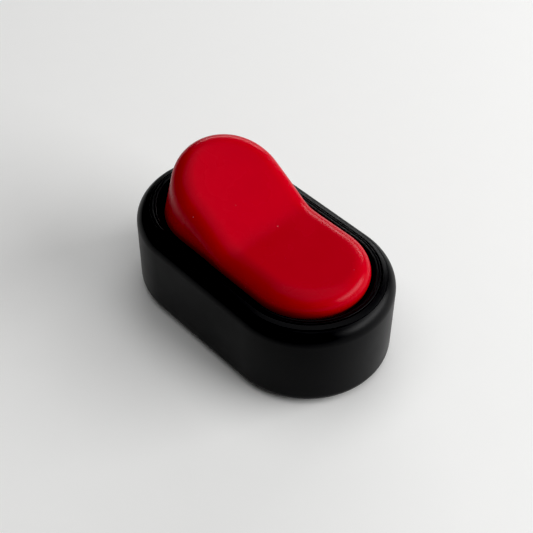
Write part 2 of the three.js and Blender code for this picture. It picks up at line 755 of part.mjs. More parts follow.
// Resistor: a dog-bone body lying on bent leads.
const resistorZ = boardTop + 1.4;
const resistorBody = turned([
  [0, 0], [0.9, 0], [1.1, 0.3], [1.1, 1.2], [0.85, 1.6], [0.85, 4.4], [1.1, 4.8], [1.1, 5.7], [0.9, 6], [0, 6],
], 14);
resistorBody.rotateY(Math.PI / 2);
resistorBody.translate((resistorFrom + resistorTo) / 2 - 3, resistorY, resistorZ);
const resistorWire = new THREE.CylinderGeometry(leadRadius, leadRadius, resistorTo - resistorFrom + 0.6, 8);
resistorWire.rotateZ(Math.PI / 2);
resistorWire.translate((resistorFrom + resistorTo) / 2, resistorY, resistorZ);
piece(
  "base_resistor",
  join(solid(resistorBody), solid(resistorWire), ...leads(resistorLeads, resistorZ)),
  ceramicTan,
);

const capacitorCan = turned([[0, 0], [2, 0], [2, 0.8], [1.85, 1.1], [2, 1.4], [2, 5.3], [1.7, 5.6], [0, 5.6]], 20);
capacitorCan.translate(capacitorAt[0], capacitorAt[1], boardTop + 0.2);
piece("capacitor", join(solid(capacitorCan), ...leads(capacitorLeads, boardTop + 0.6)), sleeveBlue);

// ---- return spring -----------------------------------------------------------------------------------------
// It stands on the compartment's post; its top stays just under the low side of the tilted seat on the cap.
const springRadius = 3.2;
const springWire = 0.4;
const seatCentreX = springX * Math.cos(tilt) + springFace * Math.sin(tilt);
const seatCentreZ = pivotZ - springX * Math.sin(tilt) + springFace * Math.cos(tilt);
const lowSideX = springSeatX + springRadius + springWire;
const springTop = seatCentreZ - (lowSideX - seatCentreX) * Math.tan(tilt) - gap;
piece(
  "return_spring",
  coil(springSeatX, 0, springSeatTop + 0.1, springTop, springRadius, springRadius, springWire, 5, 64, 6),
  steel,
);

export default buzzer;
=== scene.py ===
"""A hand-held quiz buzzer: a glossy red rocker cap in a black oblong case.

Every piece is modelled in millimetres, where the frame says that it sits, and is brought to metres when it is
finished. X runs along the case, with the raised end of the cap at -X, and Z points up.
"""

import logging
import math
from dataclasses import dataclass, field
from enum import Enum
from typing import Callable, Iterable, Sequence

import bmesh
import bpy
from mathutils import Matrix, Vector

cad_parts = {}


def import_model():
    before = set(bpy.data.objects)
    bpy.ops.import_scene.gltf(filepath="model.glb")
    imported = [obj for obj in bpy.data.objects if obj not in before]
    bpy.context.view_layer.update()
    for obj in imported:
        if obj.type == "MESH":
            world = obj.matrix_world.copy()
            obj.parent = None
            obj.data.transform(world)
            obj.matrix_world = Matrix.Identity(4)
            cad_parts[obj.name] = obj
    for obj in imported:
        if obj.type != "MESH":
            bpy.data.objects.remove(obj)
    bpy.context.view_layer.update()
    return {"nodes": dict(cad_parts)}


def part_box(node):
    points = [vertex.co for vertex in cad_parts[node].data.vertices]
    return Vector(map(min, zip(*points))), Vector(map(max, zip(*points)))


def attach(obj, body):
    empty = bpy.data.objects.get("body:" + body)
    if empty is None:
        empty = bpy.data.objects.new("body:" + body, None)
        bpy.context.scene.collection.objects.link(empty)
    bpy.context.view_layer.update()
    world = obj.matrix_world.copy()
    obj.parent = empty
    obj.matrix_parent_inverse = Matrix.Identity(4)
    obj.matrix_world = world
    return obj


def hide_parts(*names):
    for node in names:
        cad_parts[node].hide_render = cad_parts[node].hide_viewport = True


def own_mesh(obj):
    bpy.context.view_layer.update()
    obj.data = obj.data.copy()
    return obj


LOG = logging.getLogger("quiz_buzzer")
MM = 0.001  # metres in a millimetre
END_STEPS = 56  # facets in each half circle of an oblong
TURN_STEPS, WIRE_SIDES = 36, 12  # facets in a turn of a spring, and round its wire
SHARP = math.radians(30)  # an edge that turns by more than this is rounded by a bevel
NEAR = 1e-3  # places that differ by less than this are the same, in millimetres
PAST = 1.0  # how far a cutting tool runs past a surface, in millimetres
CLOUD_LOW, CLOUD_HIGH = 0.1, 0.9  # a noise texture seldom leaves this range


class Join(Enum):
    """How one solid is worked into another."""

    ADD = "UNION"
    CUT = "DIFFERENCE"


class Body(str, Enum):
    """The moving bodies of the buzzer."""

    ROOT = "root"
    ROCKER = "rocker"
    DOOR = "battery_door"


# ---- colours and shader nodes ---------------------------------------------------------------------------------


def linear(hex_colour: str) -> tuple[float, float, float, float]:
    """Turn an sRGB hex colour into the linear values that shaders read.

    Args:
        hex_colour: Six hexadecimal digits, such as "c00c1e".

    Returns:
        Linear red, green and blue, and an alpha of 1.
    """
    parts = [int(hex_colour[i:i + 2], 16) / 255 for i in (0, 2, 4)]
    bright = [c / 12.92 if c <= 0.04045 else ((c + 0.055) / 1.055) ** 2.4 for c in parts]
    return (*bright, 1.0)


def add_node(tree: bpy.types.NodeTree, kind: str, settings: dict | None = None, **sockets: object) -> bpy.types.Node:
    """Add one shader node, with its settings and its links.

    Args:
        tree: The node tree that the node joins.
        kind: The node's type, such as "ShaderNodeTexNoise".
        settings: Properties of the node itself.
        **sockets: Input names, with underscores for spaces, each with a value or the output socket that feeds it.

    Returns:
        The new node.
    """
    node = tree.nodes.new(kind)
    for name, value in (settings or {}).items():
        setattr(node, name, value)
    for name, value in sockets.items():
        key = int(name[1:]) if name[0] == "_" and name[1:].isdigit() else name.replace("_", " ")
        if isinstance(value, bpy.types.NodeSocket):
            tree.links.new(value, node.inputs[key])
        else:
            node.inputs[key].default_value = value
    return node


@dataclass(frozen=True)
class Finish:
    """A material that is one substance all over, with grain, faint wear and small changes of colour."""

    name: str
    slot: str
    colour: str
    roughness: float
    metallic: float = 0.0
    ior: float = 1.5
    specular: float = 0.5
    grain_mm: float = 0.35  # width of the surface's fine grain
    grain_depth_mm: float = 0.006
    cloud_mm: float = 9.0  # width of the slow changes of tone
    tone_shift: float = 0.06  # how far the tone changes, as a share of the colour
    gloss_shift: float = 0.05  # how far the roughness changes
    dust: float = 0.0  # share of the dust specks that show
    speck_mm: float = 0.29  # width of a speck, coarser than real dust so that it shows
    speck_pitch_mm: float = 3.2
    speck_fade: float = 0.55  # how far a speck hides what is under it
    speck_colour: str = "e6c9c6"

    def _grain(self, tree: bpy.types.NodeTree, place: bpy.types.NodeSocket) -> bpy.types.NodeSocket:
        """Give the height of the fine grain.

        Args:
            tree: The material's node tree.
            place: The place on the piece.

        Returns:
            The socket that carries the height.
        """
        return add_node(
            tree, "ShaderNodeTexNoise", Vector=place, Scale=1 / (self.grain_mm * MM), Detail=3.0, Roughness=0.6
        ).outputs["Fac"]

    def _drift(self, tree: bpy.types.NodeTree, cloud: bpy.types.NodeSocket) -> bpy.types.NodeSocket:
        """Give the surface colour, which drifts a little between a darker and a lighter tone.

        Args:
            tree: The material's node tree.
            cloud: Slow noise from 0 to 1.

        Returns:
            The socket that carries the colour.
        """
        base = linear(self.colour)[:3]
        dark, light = (
            (*(min(1.0, part * share) for part in base), 1.0) for share in (1 - self.tone_shift, 1 + self.tone_shift)
        )
        drift = add_node(tree, "ShaderNodeMapRange", _0=cloud, _1=CLOUD_LOW, _2=CLOUD_HIGH)
        mixed = add_node(tree, "ShaderNodeMix", {"data_type": "RGBA"}, _0=drift.outputs[0], _6=dark, _7=light)
        return mixed.outputs[2]

    def _pattern(
        self, tree: bpy.types.NodeTree, place: bpy.types.NodeSocket, colour: bpy.types.NodeSocket
    ) -> bpy.types.NodeSocket:
        """Lay what else there is to see over the colour: here, a few pale specks of dust.

        Args:
            tree: The material's node tree.
            place: The place on the piece.
            colour: The socket that carries the plain colour.

        Returns:
            The socket that carries the finished colour.
        """
        if not self.dust:
            return colour
        cells = add_node(tree, "ShaderNodeTexVoronoi", Vector=place, Scale=1 / (self.speck_pitch_mm * MM))
        speck = add_node(
            tree, "ShaderNodeMath", {"operation": "LESS_THAN"}, _0=cells.outputs["Distance"],
            _1=self.speck_mm / 2 / self.speck_pitch_mm,
        )
        chosen = add_node(tree, "ShaderNodeSeparateColor", Color=cells.outputs["Color"])
        some = add_node(tree, "ShaderNodeMath", {"operation": "LESS_THAN"}, _0=chosen.outputs["Red"], _1=self.dust)
        both = add_node(tree, "ShaderNodeMath", {"operation": "MULTIPLY"}, _0=speck.outputs[0], _1=some.outputs[0])
        fade = add_node(tree, "ShaderNodeMath", {"operation": "MULTIPLY"}, _0=both.outputs[0], _1=self.speck_fade)
        mixed = add_node(
            tree, "ShaderNodeMix", {"data_type": "RGBA"}, _0=fade.outputs[0], _6=colour,
            _7=linear(self.speck_colour),
        )
        return mixed.outputs[2]

    def build(self) -> bpy.types.Material:
        """Build the material.

        Returns:
            The material, made once and then reused.
        """
        if self.name in bpy.data.materials:
            return bpy.data.materials[self.name]
        material = bpy.data.materials.new(self.name)
        material.use_nodes = True
        tree = material.node_tree
        shader = tree.nodes["Principled BSDF"]
        place = add_node(tree, "ShaderNodeTexCoord").outputs["Object"]
        cloud = add_node(
            tree, "ShaderNodeTexNoise", Vector=place, Scale=1 / (self.cloud_mm * MM), Detail=2.0, Roughness=0.5
        ).outputs["Fac"]
        colour = self._pattern(tree, place, self._drift(tree, cloud))
        tree.links.new(colour, shader.inputs["Base Color"])
        gloss = add_node(
            tree, "ShaderNodeMapRange", _0=cloud, _1=CLOUD_LOW, _2=CLOUD_HIGH,
            _3=self.roughness - self.gloss_shift, _4=self.roughness + self.gloss_shift,
        )
        tree.links.new(gloss.outputs[0], shader.inputs["Roughness"])
        bump = add_node(
            tree, "ShaderNodeBump", Height=self._grain(tree, place), Strength=1.0,
            Distance=self.grain_depth_mm * MM,
        )
        tree.links.new(bump.outputs["Normal"], shader.inputs["Normal"])
        shader.inputs["Metallic"].default_value = self.metallic
        shader.inputs["Specular IOR Level"].default_value = self.specular
        if not self.metallic:
            shader.inputs["IOR"].default_value = self.ior
        return material


@dataclass(frozen=True)
class PlatedMetal(Finish):
    """A drawn or pressed metal: fine streaks along one axis instead of a grain."""

    metallic: float = 1.0
    streak_mm: float = 0.08  # spacing of the drawing lines, drawn coarser than the real ones so that they show
    along: int = 0  # the axis that the streaks follow
    stretch: float = 0.04  # a streak's width as a share of its length

    def _grain(self, tree: bpy.types.NodeTree, place: bpy.types.NodeSocket) -> bpy.types.NodeSocket:
        """Give the height of the drawing lines.

        Args:
            tree: The material's node tree.
            place: The place on the piece.

        Returns:
            The socket that carries the height.
        """
        scale = tuple(self.stretch if axis == self.along else 1.0 for axis in range(3))
        turned = add_node(tree, "ShaderNodeMapping", Vector=place, Scale=scale)
        return add_node(
            tree, "ShaderNodeTexNoise", Vector=turned.outputs[0], Scale=1 / (self.streak_mm * MM), Detail=2.0
        ).outputs["Fac"]


@dataclass(frozen=True)
class Banded(Finish):
    """A lacquered or sleeved part with bands of other colours round its axis."""

    axis: int = 0
    bands: tuple[tuple[float, float, str], ...] = ()  # from and to, in millimetres along the axis, and a colour

    def _pattern(
        self, tree: bpy.types.NodeTree, place: bpy.types.NodeSocket, colour: bpy.types.NodeSocket
    ) -> bpy.types.NodeSocket:
        """Lay each band over the colour.

        Args:
            tree: The material's node tree.
            place: The place on the piece.
            colour: The socket that carries the plain colour.

        Returns:
            The socket that carries the finished colour.
        """
        split = add_node(tree, "ShaderNodeSeparateXYZ", Vector=place)
        for low, high, tint in self.bands:
            middle = add_node(
                tree, "ShaderNodeMath", {"operation": "COMPARE"}, _0=split.outputs[self.axis],
                _1=(low + high) / 2 * MM, _2=(high - low) / 2 * MM,
            )
            over = add_node(
                tree, "ShaderNodeMix", {"data_type": "RGBA"}, _0=middle.outputs[0], _6=colour, _7=linear(tint)
            )
            colour = over.outputs[2]
        return colour


@dataclass(frozen=True)
class Laminate(Finish):
    """Glass-fibre board under green solder mask: copper tracks show through as lighter lines."""

    track_mm: float = 2.6  # spacing of the tracks
    track_width: float = 0.03  # in the pattern's own unit
    track_colour: str = "3f8a54"

    def _pattern(
        self, tree: bpy.types.NodeTree, place: bpy.types.NodeSocket, colour: bpy.types.NodeSocket
    ) -> bpy.types.NodeSocket:
        """Lay lighter tracks over the colour.

        Args:
            tree: The material's node tree.
            place: The place on the piece.
            colour: The socket that carries the plain colour.

        Returns:
            The socket that carries the finished colour.
        """
        tracks = add_node(
            tree, "ShaderNodeTexBrick", Vector=place, Color1=(0, 0, 0, 1), Color2=(0, 0, 0, 1),
            Mortar=(1, 1, 1, 1), Scale=1 / (self.track_mm * 2 * MM), Mortar_Size=self.track_width, Mortar_Smooth=0.1,
        )
        over = add_node(
            tree, "ShaderNodeMix", {"data_type": "RGBA"}, _0=tracks.outputs["Color"], _6=colour,
            _7=linear(self.track_colour),
        )
        return over.outputs[2]


# Moulded ABS from a spark-eroded mould: near black, with a broad soft sheen and a fine even grain.
CASE_ABS = Finish("moulded_black_abs", "black_case_plastic", "09090b", 0.36, specular=0.16, tone_shift=0.1)
# Moulded ABS from a polished mould: saturated red with a satin gloss, and a few specks of dust that it attracts.
CAP_ABS = Finish(
    "moulded_red_abs", "red_cap_plastic", "ba0020", 0.27, specular=0.13, grain_mm=0.3, grain_depth_mm=0.003,
    tone_shift=0.04, gloss_shift=0.03, dust=0.4,
)
# Moulded rubber: dull and dark, with a grain deep enough to break up any highlight.
FOOT_RUBBER = Finish("moulded_foot_rubber", "foot_rubber", "17171a", 0.85, specular=0.3, grain_depth_mm=0.02)
# Turned steel, bright zinc plated: cool, pale and shiny, with faint turning lines.
ZINC_STEEL = PlatedMetal("zinc_plated_steel", "plated_steel", "c4c6c8", 0.28, grain_depth_mm=0.002)
# Drawn and ground steel: a little darker and sharper, with lines along its length.
SPRING_STEEL = PlatedMetal("drawn_spring_steel", "plated_steel", "b4b7ba", 0.22, grain_depth_mm=0.002, along=2)
# Pressed brass strip: warm yellow with soft reflections.
CONTACT_BRASS = PlatedMetal("pressed_contact_brass", "contact_brass", "d3ad5c", 0.3, grain_depth_mm=0.002)
# Moulded epoxy: a flat charcoal with a fine stone-like grain.
MOULDED_EPOXY = Finish("moulded_black_epoxy", "moulded_black", "15161a", 0.5, grain_depth_mm=0.01)
# Glass-fibre board under solder mask: glossy green, with the tracks showing through.
BOARD_MASK = Laminate("green_solder_mask", "board_laminate", "1c5c36", 0.35, grain_depth_mm=0.004)


# ---- modelling by hand, in millimetres --------------------------------------------------------------------------


def deselect_all() -> None:
    """Leave object mode's selection empty, so that an operator only acts on what is chosen next."""
    if bpy.context.mode != "OBJECT":
        bpy.ops.object.mode_set(mode="OBJECT")
    bpy.ops.object.select_all(action="DESELECT")


def activate(obj: bpy.types.Object) -> None:
    """Select one object and make it the active one.

    Args:
        obj: The object.
    """
    deselect_all()
    obj.select_set(True)
    bpy.context.view_layer.objects.active = obj


def named(name: str) -> bpy.types.Object:
    """Name the primitive that was just added, and put its place into its mesh.

    Args:
        name: The new name of the object and its mesh.

    Returns:
        The object.
    """
    obj = bpy.context.object
    obj.name = obj.data.name = name
    bpy.ops.object.transform_apply(location=True, rotation=True, scale=True)
    return obj


def block(name: str, low: Sequence[float], high: Sequence[float], bevel: float = 0.0) -> bpy.types.Object:
    """Model a rectangular block, with its edges rounded where a bevel is given.

    Args:
        name: The block's name.
        low: Its lowest corner.
        high: Its highest corner.
        bevel: Radius of its edges.

    Returns:
        The block.
    """
    deselect_all()
    size = [b - a for a, b in zip(low, high)]
    bpy.ops.mesh.primitive_cube_add(size=1, location=[(a + b) / 2 for a, b in zip(low, high)], scale=size)
    obj = named(name)
    if bevel:
        bevel_all(obj, bevel, 3)
    return obj


def disc(
    name: str, centre: Sequence[float], radius: float, depth: float, sides: int = 48, axis: str = "Z",
) -> bpy.types.Object:
    """Model a cylinder from its middle point.

    Args:
        name: The cylinder's name.
        centre: Its middle point.
        radius: Its radius.
        depth: Its length.
        sides: Its facets.
        axis: The axis that it lies along, "X", "Y" or "Z".

    Returns:
        The cylinder.
    """
    deselect_all()
    turn = {"X": (0, math.pi / 2, 0), "Y": (math.pi / 2, 0, 0), "Z": (0, 0, 0)}[axis]
    bpy.ops.mesh.primitive_cylinder_add(vertices=sides, radius=radius, depth=depth, location=centre, rotation=turn)
    return named(name)


def post(name: str, x: float, y: float, low: float, high: float, radius: float, sides: int = 32) -> bpy.types.Object:
    """Model a cylinder that stands between two heights."""
    return disc(name, (x, y, (low + high) / 2), radius, high - low, sides)


def choose(obj: bpy.types.Object, test: Callable[[Vector], bool]) -> None:
    """In edit mode, select the vertices that pass a test, and the edges and faces that lie among them.

    Args:
        obj: The object in edit mode.
        test: Says whether a vertex at a place is chosen.
    """
    bpy.ops.mesh.select_mode(type="VERT")
    bpy.ops.mesh.select_all(action="DESELECT")
    mesh = bmesh.from_edit_mesh(obj.data)
    for vertex in mesh.verts:
        vertex.select_set(test(vertex.co))
    mesh.select_flush_mode()
    bmesh.update_edit_mesh(obj.data)


def bevel_edges(obj: bpy.types.Object, test: Callable[[Vector], bool], width: float, segments: int = 4) -> None:
    """Round the sharp edges whose two ends both pass a test.

    Args:
        obj: The object to round.
        test: Says whether an end of an edge counts.
        width: The width of the round.
        segments: How many facets it gets.
    """
    activate(obj)
    bpy.ops.object.mode_set(mode="EDIT")
    bpy.ops.mesh.select_mode(type="EDGE")
    bpy.ops.mesh.select_all(action="DESELECT")
    mesh = bmesh.from_edit_mesh(obj.data)
    for edge in mesh.edges:
        sharp = len(edge.link_faces) == 2 and edge.calc_face_angle(0) > SHARP
        edge.select_set(sharp and all(test(v.co) for v in edge.verts))
    bmesh.update_edit_mesh(obj.data)
    bpy.ops.mesh.bevel(offset=width, offset_type="OFFSET", segments=segments, profile=0.5, affect="EDGES")
    bpy.ops.object.mode_set(mode="OBJECT")


def bevel_all(obj: bpy.types.Object, width: float, segments: int = 3) -> None:
    """Round every sharp edge, with a bevel modifier that is then applied.

    Args:
        obj: The object to round.
        width: The width of the round.
        segments: How many facets it gets.
    """
    activate(obj)
    modifier = obj.modifiers.new("edge_round", "BEVEL")
    modifier.width = width
    modifier.segments = segments
    modifier.limit_method = "ANGLE"
    modifier.angle_limit = SHARP
    bpy.ops.object.modifier_apply(modifier=modifier.name)


def merged(pieces: Iterable[bpy.types.Object]) -> bpy.types.Object:
    """Join objects that stand apart into one object, without working their surfaces into each other.

    Args:
        pieces: The objects, one or more.

    Returns:
        The one object.
    """
    pieces = list(pieces)
    deselect_all()
    for piece in pieces:
        piece.select_set(True)
    bpy.context.view_layer.objects.active = pieces[0]
    if len(pieces) > 1:
        bpy.ops.object.join()
    return bpy.context.object


def discard(obj: bpy.types.Object) -> None:
    """Remove an object that is used up, with its mesh.

    Args:
        obj: The object.
    """
    mesh = obj.data
    bpy.data.objects.remove(obj)
    bpy.data.meshes.remove(mesh)


def copied(
    master: bpy.types.Object, name: str, place: Sequence[float], turn: Sequence[float] = (0.0, 0.0, 0.0)
) -> bpy.types.Object:
    """Copy a piece that was modelled at the origin, with a mesh of its own, to its place.

    Args:
        master: The piece to copy.
        name: The copy's name.
        place: Where its origin goes.
        turn: Angles about X, Y and Z, in radians.

    Returns:
        The copy.
    """
    activate(master)
    bpy.ops.object.duplicate(linked=False)
    copy = bpy.context.object
    copy.name = copy.data.name = name
    copy.rotation_euler = turn
    copy.location = place
    return copy


def work(target: bpy.types.Object, how: Join, tools: Iterable[bpy.types.Object]) -> None:
    """Add solids to a target or cut them from it. The solids of one call stand clear of each other.

    Args:
        target: The piece that is changed.
        how: Whether the tools are added or cut.
        tools: The solids, which are used up.
    """
    tool = merged(tools)
    activate(target)
    modifier = target.modifiers.new("solid_work", "BOOLEAN")
    modifier.operation = how.value
    modifier.solver = "MANIFOLD"
    modifier.object = tool
    bpy.ops.object.modifier_apply(modifier=modifier.name)
    discard(tool)


def spin(centre: Sequence[float], axis: Sequence[float], degrees: float, steps: int) -> None:
    """Sweep the selection about an axis by the right-hand rule, where the operator itself turns the other way."""
    bpy.ops.mesh.spin(steps=steps, angle=-math.radians(degrees), center=centre, axis=axis, use_auto_merge=False)


def first_point(name: str, place: Sequence[float]) -> bpy.types.Object:
    """Put down the one point that an outline is drawn from: a plane merged at its centre.

    Args:
        name: The name of the new object.
        place: Where the point is.

    Returns:
        The object, left in edit mode with its point selected.
    """
    deselect_all()
    bpy.ops.mesh.primitive_plane_add(size=1, location=place)
    obj = named(name)
    bpy.ops.object.mode_set(mode="EDIT")
    bpy.ops.mesh.select_mode(type="VERT")
    bpy.ops.mesh.select_all(action="SELECT")
    bpy.ops.mesh.merge(type="CENTER")
    return obj


@dataclass
class OblongPen:
    """Draws a closed section point by point and sweeps it round an oblong outline.

    A place is (inset, height): inset is measured inwards from the outline, whose two half circles have the given
    radius about (+-half_straight, 0).
    """

    name: str
    half_straight: float
    radius: float
    start: tuple[float, float] = (0.0, 0.0)
    _obj: bpy.types.Object = field(init=False)
    at: tuple[float, float] = field(init=False)

    def __post_init__(self) -> None:
        """Put down the first point."""
        self._obj = first_point(self.name, self._place(*self.start))
        self.at = self.start

    def _place(self, inset: float, height: float) -> Vector:
        """Give the place of a section point, on the -Y side at the +X end of the straight."""
        return Vector((self.half_straight, inset - self.radius, height))

    def line(self, inset: float, height: float) -> "OblongPen":
        """Draw a straight line to a place.

        Args:
            inset: The place's inset.
            height: The place's height.

        Returns:
            The pen.
        """
        shift = self._place(inset, height) - self._place(*self.at)
        bpy.ops.mesh.extrude_vertices_move(TRANSFORM_OT_translate={"value": shift})
        self.at = (inset, height)
        return self

    def arc(self, centre: tuple[float, float], degrees: float, steps: int) -> "OblongPen":
        """Draw an arc about a centre, turning anticlockwise as (inset, height) are seen on paper.

        Args:
            centre: The centre's inset and height.
            degrees: How far it turns.
            steps: How many facets it gets.

        Returns:
            The pen.
        """
        spin(self._place(*centre), (1, 0, 0), degrees, steps)
        turn = math.radians(degrees)
        across, up = self.at[0] - centre[0], self.at[1] - centre[1]
        self.at = (
            centre[0] + across * math.cos(turn) - up * math.sin(turn),
            centre[1] + across * math.sin(turn) + up * math.cos(turn),
        )
        return self

    def sweep(self) -> bpy.types.Object:
        """Close the section and sweep it round the outline.

        Returns:
            The closed solid.
        """
        self.line(*self.start)
        bpy.ops.mesh.select_all(action="SELECT")
        bpy.ops.mesh.remove_doubles(threshold=1e-4)
        for end in (1, -1):
            spin((end * self.half_straight, 0, 0), (0, 0, 1), 180, END_STEPS)
            along = (-2 * end * self.half_straight, 0, 0)
            bpy.ops.mesh.extrude_region_move(TRANSFORM_OT_translate={"value": along})
        bpy.ops.mesh.select_all(action="SELECT")
        bpy.ops.mesh.remove_doubles(threshold=NEAR)
        bpy.ops.mesh.normals_make_consistent(inside=False)
        bpy.ops.object.mode_set(mode="OBJECT")
        return self._obj


def oblong_plate(name: str, half_straight: float, radius: float, low: float, high: float) -> bpy.types.Object:
    """Model a flat plate with an oblong outline between two heights.

    Args:
        name: The plate's name.
        half_straight: Distance of each end's centre from the middle.
        radius: Radius of the ends.
        low: Height of its underside.
        high: Height of its top.

    Returns:
        The plate.
    """
    obj = first_point(name, (half_straight, -radius, low))
    for end in (1, -1):
        spin((end * half_straight, 0, low), (0, 0, 1), 180, END_STEPS)
        along = (-2 * end * half_straight, 0, 0)
        bpy.ops.mesh.extrude_vertices_move(TRANSFORM_OT_translate={"value": along})
    bpy.ops.mesh.select_all(action="SELECT")
    bpy.ops.mesh.remove_doubles(threshold=NEAR)
    bpy.ops.mesh.edge_face_add()
    bpy.ops.mesh.extrude_region_move(TRANSFORM_OT_translate={"value": (0, 0, high - low)})
    bpy.ops.mesh.select_all(action="SELECT")
    bpy.ops.mesh.normals_make_consistent(inside=False)
    bpy.ops.object.mode_set(mode="OBJECT")
    return obj


def coil(
    name: str, foot: Sequence[float], height: float, radius: float, wire: float, turns: float, end_radius: float
) -> bpy.types.Object:
    """Wind a wire into a spring that stands on a point, with a screw modifier.

    Args:
        name: The spring's name.
        foot: The middle of its foot.
        height: Its height over the wire.
        radius: Radius of the turns to the middle of the wire.
        wire: Radius of the wire.
        turns: How many turns it has.
        end_radius: Radius of the last turn, where the spring is conical.

    Returns:
        The spring.
    """
    deselect_all()
    bpy.ops.mesh.primitive_circle_add(
        vertices=WIRE_SIDES, radius=wire, location=(radius, 0, wire), rotation=(math.pi / 2, 0, 0)
    )
    obj = named(name)
    modifier = obj.modifiers.new("winding", "SCREW")
    modifier.angle = 2 * math.pi * turns
    modifier.screw_offset = height - 2 * wire
    modifier.steps = modifier.render_steps = int(TURN_STEPS * turns)
    modifier.use_merge_vertices = False
    bpy.ops.object.modifier_apply(modifier=modifier.name)
    bpy.ops.object.mode_set(mode="EDIT")
    bpy.ops.mesh.select_all(action="SELECT")
    bpy.ops.mesh.remove_doubles(threshold=1e-4)
    bpy.ops.mesh.fill_holes(sides=WIRE_SIDES)
    bpy.ops.mesh.normals_make_consistent(inside=False)
    bpy.ops.object.mode_set(mode="OBJECT")
    for vertex in obj.data.vertices:  # a conical spring draws in towards its end
        share = min(max((vertex.co.z - wire) / (height - 2 * wire), 0.0), 1.0)
        flat = Vector((vertex.co.x, vertex.co.y, 0))
        inwards = (radius - end_radius) * share
        vertex.co -= flat.normalized() * inwards
        vertex.co += Vector(foot)
    return obj


def set_down(
    obj: bpy.types.Object, finish: Finish, body: Body, nodes: Sequence[str], smooth_angle: float = 35.0
) -> None:
    """Bring a finished piece to metres, dress it and tie it to the frame.

    Args:
        obj: The piece, modelled in millimetres.
        finish: Its material.
        body: The body that it moves with.
        nodes: The frame's nodes that it stands for.
        smooth_angle: Edges sharper than this stay sharp, in degrees.
    """
    activate(obj)
    bpy.ops.object.transform_apply(location=True, rotation=True, scale=True)
    bpy.ops.transform.resize(value=(MM, MM, MM), center_override=(0, 0, 0))
    bpy.ops.object.transform_apply(location=True, rotation=True, scale=True)
    bpy.ops.object.shade_smooth_by_angle(angle=math.radians(smooth_angle))
    obj.data.materials.clear()
    obj.data.materials.append(finish.build())
    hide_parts(*nodes)
    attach(obj, body.value)
    LOG.info("%s: %d faces, on %s", obj.name, len(obj.data.polygons), body.value)


def box_mm(node: str) -> tuple[Vector, Vector]:
    """Give the lowest and highest corner of a frame node, in millimetres."""
    low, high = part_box(node)
    return low / MM, high / MM


def middle_of(node: str) -> Vector:
    """Give the middle of a frame node's box, in millimetres."""
    low, high = box_mm(node)
    return (low + high) / 2


# ---- the case ---------------------------------------------------------------------------------------------------


